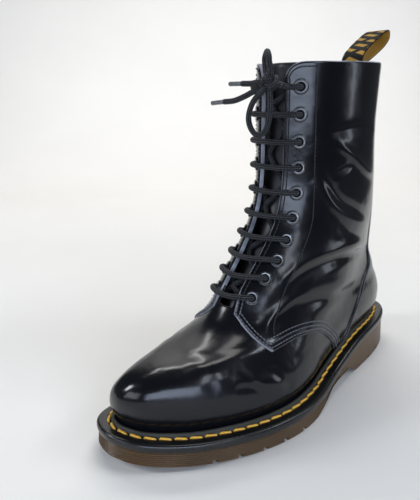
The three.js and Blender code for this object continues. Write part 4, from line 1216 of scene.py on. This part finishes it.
inner_face = off_last(tongue_u, tongue_t, -tongue_depth - TONGUE_THICKNESS + thin - 0.3 + bunch)
middle = (outer_face + inner_face) / 2
middle = np.hstack([middle, middle[:, ::-1]])
tongue_rows = np.vstack([middle[:1], np.hstack([outer_face, inner_face[:, ::-1]]), middle[-1:] + [0, 0, 0.5]])
tongue = grid_piece("tongue_leather", tongue_rows, close_round=True)
weld(tongue, WELD_SHEETS)
outward_faces(tongue)
finish_piece(tongue, [tongue_leather], ["tongue"])

# %% [markdown]
# An eyelet is a little tube of black enamelled metal whose two ends are rolled over the leather. Where the
# lace has rubbed, the mouth of the roll shows bright metal.

# %% Eyelets
EYELET_PROFILE = [
    (3.1, -3.1), (3.2, -3.45), (3.6, -3.55), (4.6, -3.5), (5.0, -3.25), (5.0, -2.8), (4.4, -2.7),
    (3.85, -2.7), (3.8, -2.4), (3.8, 1.4), (4.6, 1.5), (5.3, 1.5), (5.42, 1.62), (5.4, 1.85), (5.15, 2.15),
    (4.75, 2.32), (4.25, 2.36), (3.8, 2.28), (3.45, 2.1), (3.2, 1.8), (3.1, 1.4), (3.1, 0.0), (3.1, -1.6)]
EYELET_SIDES = 40
RUBBED_WITHIN, RUBBED_ABOVE = 4.0, 1.2
enamel = grained("black_enamel", [(0.3, (0.006, 0.006, 0.008)), (0.8, (0.015, 0.015, 0.018))],
                 dict(Smear_Scale=60.0), Roughness=0.25, Coat_Weight=0.5)
rubbed = grained("rubbed_metal", [(0.3, (0.5, 0.52, 0.55)), (0.7, (0.85, 0.87, 0.9))],
                 dict(Smear_Scale=200.0), [(0.3, (0.2,) * 3), (0.7, (0.4,) * 3)], Metallic=0.6)
turn_angle = np.linspace(0, 2 * math.pi, EYELET_SIDES, endpoint=False)[:, None]
for row, (t, u) in enumerate(EYELETS, 1):
    for side, word in SIDES:
        centre, normal = on_last(on_side(u, side), t), outward(on_side(u, side), t)
        across = unit(np.cross([0.0, 0, 1], normal))
        ring = np.cos(turn_angle) * across + np.sin(turn_angle) * np.cross(normal, across)
        piece = tube(f"rolled_eyelet_{word}_{row:02d}",
                     [centre + normal * height + ring * radius for radius, height in EYELET_PROFILE],
                     close_up=True)
        finish_piece(piece, [enamel, rubbed], [f"eyelet_{word}_{row:02d}"])
        local = face_centres(piece) - centre
        height = local @ normal
        radius = np.linalg.norm(local - height[:, None] * normal, axis=1)
        second_material(piece, (radius < RUBBED_WITHIN) & (height > RUBBED_ABOVE))

# %% [markdown]
# The lace is a round braid. On each row it comes up through one eyelet, crosses in a bar and goes down the
# other; behind the facings it climbs slantwise to the row after next. Its ends meet in the bow.

# %% Lace material
LACE_RIBS, LACE_STRANDS = 0.55, 4.0


def woven(name, **sockets):
    """A material with its UV map split: along in millimetres, around in turns."""
    material, tree, shader = new_material(name, **sockets)
    split = tree.nodes.new("ShaderNodeSeparateXYZ")
    tree.links.new(tree.nodes.new("ShaderNodeUVMap").outputs["UV"], split.inputs["Vector"])
    return material, tree, shader, split


def slanted(tree, split, along, around, phase=0.0):
    """A slanting wave: along in turns per millimetre, around in turns once round."""
    first = math_node(tree, "MULTIPLY", split.outputs["Y"], along * 2 * math.pi)
    second = math_node(tree, "MULTIPLY_ADD", split.outputs["X"], around * 2 * math.pi, first)
    return math_node(tree, "SINE", math_node(tree, "ADD", second, phase))


def braid_pattern(tree, split, along, around):
    """Two sets of slanted ribs that cross: the rib height and the fleck mask."""
    waves = [slanted(tree, split, along, direction * around) for direction in (1, -1)]
    return math_node(tree, "MAXIMUM", *waves), math_node(tree, "MULTIPLY", *waves)


braid, tree, shader, split = woven("lace_braid", Roughness=0.6, Specular_IOR_Level=0.3, Sheen_Weight=0.05)
rib, fleck = braid_pattern(tree, split, LACE_RIBS, LACE_STRANDS)
paint(tree, shader, fleck, (0.0, (0.004, 0.004, 0.005)), (0.45, (0.009, 0.009, 0.011)),
      (0.9, (0.16, 0.17, 0.19)))
bump_from(tree, shader, rib, 0.8, 0.0004)

clear_tip, tree, shader, split = woven("clear_tip", Roughness=0.12, Coat_Weight=0.6)
_, fleck = braid_pattern(tree, split, LACE_RIBS, LACE_STRANDS)
paint(tree, shader, fleck, (0.0, (0.05, 0.052, 0.056)), (0.9, (0.42, 0.44, 0.46)))


def cord_piece(name, line, radius=LACE_RADIUS, material=braid, spacing=0.6):
    """A braided cord along a line, with rounded ends; also its even line and its length."""
    length = float(run_along(line)[-1])
    line = even(line, max(int(length / spacing), 6))
    rows = cord_rows(line, radius, None, 14)
    heading = unit(np.gradient(line, axis=0))
    ends = [line[at] + (rows[at] - line[at]) * share + sign * heading[at] * beyond
            for at, sign, share, beyond in ((0, -1, 0.02, 0.5), (0, -1, 0.7, 0.35),
                                            (-1, 1, 0.7, 0.35), (-1, 1, 0.02, 0.5))]
    piece = tube(name, np.concatenate([ends[:2], rows, ends[2:]]))
    stretch_uv(piece, length)
    piece.data.materials.append(material)
    return piece, line, length


# %% Lacing
UNDER = -(TONGUE_DEPTH - LACE_RADIUS - 0.6)
EYELET_FLANGE = 0.8
OVER = LAP + CLEARANCE + EYELET_FLANGE + LACE_RADIUS + 1
# Share of the way from the middle to the eyelet, and height over the last, of a strand that comes up
RISE = [(1, UNDER), (1, -2), (1, 2.2), (0.96, 0.75 * OVER), (0.84, 0.97 * OVER)]
HALF_BAR = RISE + [(0.6, OVER)]
BAR = HALF_BAR + [(0, OVER * 0.78)] + [(-share, height) for share, height in HALF_BAR[::-1]]


def throat_line(row, stops, side=1):
    t, u = EYELETS[row]
    across, lift = np.array(stops).T
    return off_last(side * across * u, np.full(len(across), t), lift)


def crossing(from_row, to_row, side):
    """A strand under the bars, from one eyelet to another across the throat."""
    share = np.linspace(0, 1, 40)
    t, u = [mix(a, b, share) for a, b in zip(EYELETS[from_row], EYELETS[to_row])]
    return off_last(side * (1 - 2 * share) * u, t, np.full(40, UNDER))


strands = [cord_piece(f"bar_{row}", curve(throat_line(row, BAR), 120))[0] for row in range(EYELET_ROWS - 1)]
CROSSINGS = ([(0, 1, 1), (EYELET_ROWS - 2, EYELET_ROWS - 1, -1)]
             + [(row, row + 2, 1 if row % 2 else -1) for row in range(EYELET_ROWS - 2)])
strands += [cord_piece(f"crossing_{route[0]}", crossing(*route))[0] for route in CROSSINGS]

# %% The bow
KNOT_HALF = np.array([7.5, 5.5, 7.0])
KNOT = on_last(0.0, EYELETS[-1][0]) + [5.3, -10.2, 3.2]
FROM_KNOT, PAST_KNOT = 0.7, 2.5
TIP_LENGTH, TIP_DIAMETER = 12.0, 3.4


def knot_exit(direction, beyond=FROM_KNOT):
    ray = np.array(direction, float)
    return KNOT + ray / np.linalg.norm(ray / KNOT_HALF) + unit(ray) * beyond


# direction out of the knot, points from the knot's middle, direction back into it
BOW = {
    "lace_loop_up": ([-0.75, 0.4, 1], [[-7, 4, 11.5], [-7.6, 4.4, 15.5], [-4.6, 2.2, 19], [-0.6, -1.6, 19.4],
                                       [2.6, -4.2, 16.4], [3.2, -4.4, 12.4]], [0.5, -0.35, 1]),
    "lace_loop_hanging": ([-0.1, -0.9, -0.8], [[-5, -9.4, -11], [-10.4, -8, -18], [-12.8, -6.4, -25],
                                               [-10.4, -6.2, -31.2], [-5.2, -6, -35], [0.4, -5.4, -32.6],
                                               [3.2, -4.6, -26.4], [4, -4.2, -19], [3.8, -3.8, -12.4]],
                          [0.5, -0.55, -1]),
    "lace_end_short": ([-1, -0.4, 0], [[-12, -3.5, -0.5], [-21.5, -3, -0.5]], None),
    "lace_end_long": ([-0.8, -0.6, -0.8], [[-10, -4.9, -6.1], [-16.7, -5.5, -8.8], [-27, -5.5, -11.9],
                                           [-36.5, -5.5, -12.7]], None)}


def bow_line(loop, end):
    """One half of the lace: out of the knot, round its loop, back through the knot and out to its end."""
    leaves, route, returns = BOW[loop]
    exits, way, _ = BOW[end]
    through = KNOT + [0.4, 1.0 if "up" in loop else -1.2, 0]
    return curve([knot_exit(leaves), knot_exit(leaves, PAST_KNOT), *(KNOT + route),
                  knot_exit(returns, PAST_KNOT), knot_exit(returns), through,
                  knot_exit(exits), knot_exit(exits, PAST_KNOT), *(KNOT + way)], 320)


for half, loop, end in (("bow_half_upper", "lace_loop_up", "lace_end_long"),
                        ("bow_half_lower", "lace_loop_hanging", "lace_end_short")):
    piece, line, length = cord_piece(half, bow_line(loop, end))
    finish_piece(piece, (), [loop, end])
    way = np.array(BOW[end][1], float)
    heading = unit(way[-1] - way[-2])
    start = KNOT + way[-1] + heading * CLEARANCE
    tip, _, _ = cord_piece(end.replace("lace_end", "tip_sleeve"),
                           start + np.linspace(0, TIP_LENGTH, 12)[:, None] * heading,
                           TIP_DIAMETER / 2, clear_tip, spacing=1.0)
    finish_piece(tip, (), [end.replace("end", "tip")])
    picked = even(line, 36)
    print(half, "length in mm", round(length, 1))

# The two strands of the top row run on to the knot, and the knot is the cord wound round itself
for side, direction in ((1, [1, 0.1, -0.2]), (-1, [-1, 0.5, 0.3])):
    line = [*throat_line(-1, RISE + [(0.65, OVER)], side), knot_exit(direction, PAST_KNOT),
            knot_exit(direction), knot_exit(direction, -PAST_KNOT)]
    strands.append(cord_piece(f"top_strand_{side}", curve(line, 120))[0])
finish_piece(join("lacing", strands), (), ["lace"])

wind = np.linspace(0, 2 * math.pi, 260)
swing = 0.62 + 0.38 * np.cos(3 * wind)
turns = np.stack([swing * np.cos(2 * wind), 0.95 * np.sin(3 * wind), swing * np.sin(2 * wind)], axis=1)
knot, _, _ = cord_piece("bow_knot", KNOT + turns * (KNOT_HALF - LACE_RADIUS))
finish_piece(knot, (), ["lace_knot"])

# %% [markdown]
# The pull loop is webbing folded double and sewn inside the collar. It leans back over the heel.

# %% Pull loop
LOOP_WIDTH, LOOP_THICKNESS = 19.0, 1.3
LOOP_LEANING = np.array([(0, -13), (0, 1), (7, 4), (20, 10), (31, 16), (37, 22), (36, 27), (29, 26),
                         (17, 20.5), (4, 13.5), (-5, 7), (-7, 2), (-4, -3), (-2.2, -6.5), (-2.2, -13)], float)
# Half of the webbing's section: shares of its half width and half thickness
LOOP_FACE = [(-1, 0.55), (-0.97, 0.9), (-0.9, 1), (-0.6, 1), (-0.3, 1), (0, 1),
             (0.3, 1), (0.6, 1), (0.9, 1), (0.97, 0.9), (1, 0.55)]
rear_u = facing_u(COLLAR_RING, LOOP_WIDTH / 2, 0.5)
loop_y = on_last(rear_u, COLLAR_RING - 0.3)[1] - LEATHER - CLEARANCE - LOOP_THICKNESS / 2 - 1
loop_path = curve(np.insert(LOOP_LEANING + [loop_y, COLLAR_HEIGHT], 0, 0, axis=1), 200)
loop_path = even(loop_path, 130)
heading = unit(np.gradient(loop_path, axis=0))
loop_normal = np.stack([0 * heading[:, 0], -heading[:, 2], heading[:, 1]], axis=1)
section = np.array(LOOP_FACE + [(share, -bulge) for share, bulge in LOOP_FACE[::-1]])
section_x = np.outer(section[:, 0] * LOOP_WIDTH / 2 + LEG_AXIS_X, [1, 0, 0])
loop = tube("pull_loop", loop_path[:, None] + section_x
            + loop_normal[:, None] * LOOP_THICKNESS / 2 * section[None, :, 1:])
loop_length = run_along(loop_path)[-1]
stretch_uv(loop, loop_length)
print("webbing in the loop, mm:", round(loop_length, 1))

# The first half of the turn is the side that faces into the loop; dashes lie on the second half
webbing, tree, shader, split = woven("woven_webbing", Roughness=0.75, Specular_IOR_Level=0.25)
outside = math_node(tree, "GREATER_THAN", split.outputs["X"], 0.5)
dashes = math_node(tree, "GREATER_THAN", slanted(tree, split, 0.11, 2.4), 0.15)
broken = math_node(tree, "GREATER_THAN", slanted(tree, split, 0.055, -3.0, 1.0), -0.55)
from_edge = math_node(tree, "PINGPONG", split.outputs["X"], 0.25)
within = math_node(tree, "GREATER_THAN", from_edge, 0.055)
drawn = math_node(tree, "MULTIPLY", math_node(tree, "MULTIPLY", dashes, broken), outside)
either = math_node(tree, "MAXIMUM", drawn, math_node(tree, "SUBTRACT", 1.0, outside))
rib, fleck = braid_pattern(tree, split, 0.9, 22.0)
yarn = ramp(tree, fleck, (0.1, (0.42, 0.24, 0.04)), (0.8, (0.68, 0.43, 0.09)))
ground = ramp(tree, fleck, (0.1, (0.006, 0.006, 0.007)), (0.9, (0.022, 0.021, 0.02)))
colours = node(tree, "ShaderNodeMix", data_type="RGBA")
for source, socket in ((math_node(tree, "MULTIPLY", either, within), "Factor"), (ground, 6), (yarn, 7)):
    tree.links.new(source, colours.inputs[socket])
tree.links.new(colours.outputs[2], shader.inputs["Base Color"])
bump_from(tree, shader, rib, 0.7, 0.0003)
finish_piece(loop, [webbing], ["heel_loop"])
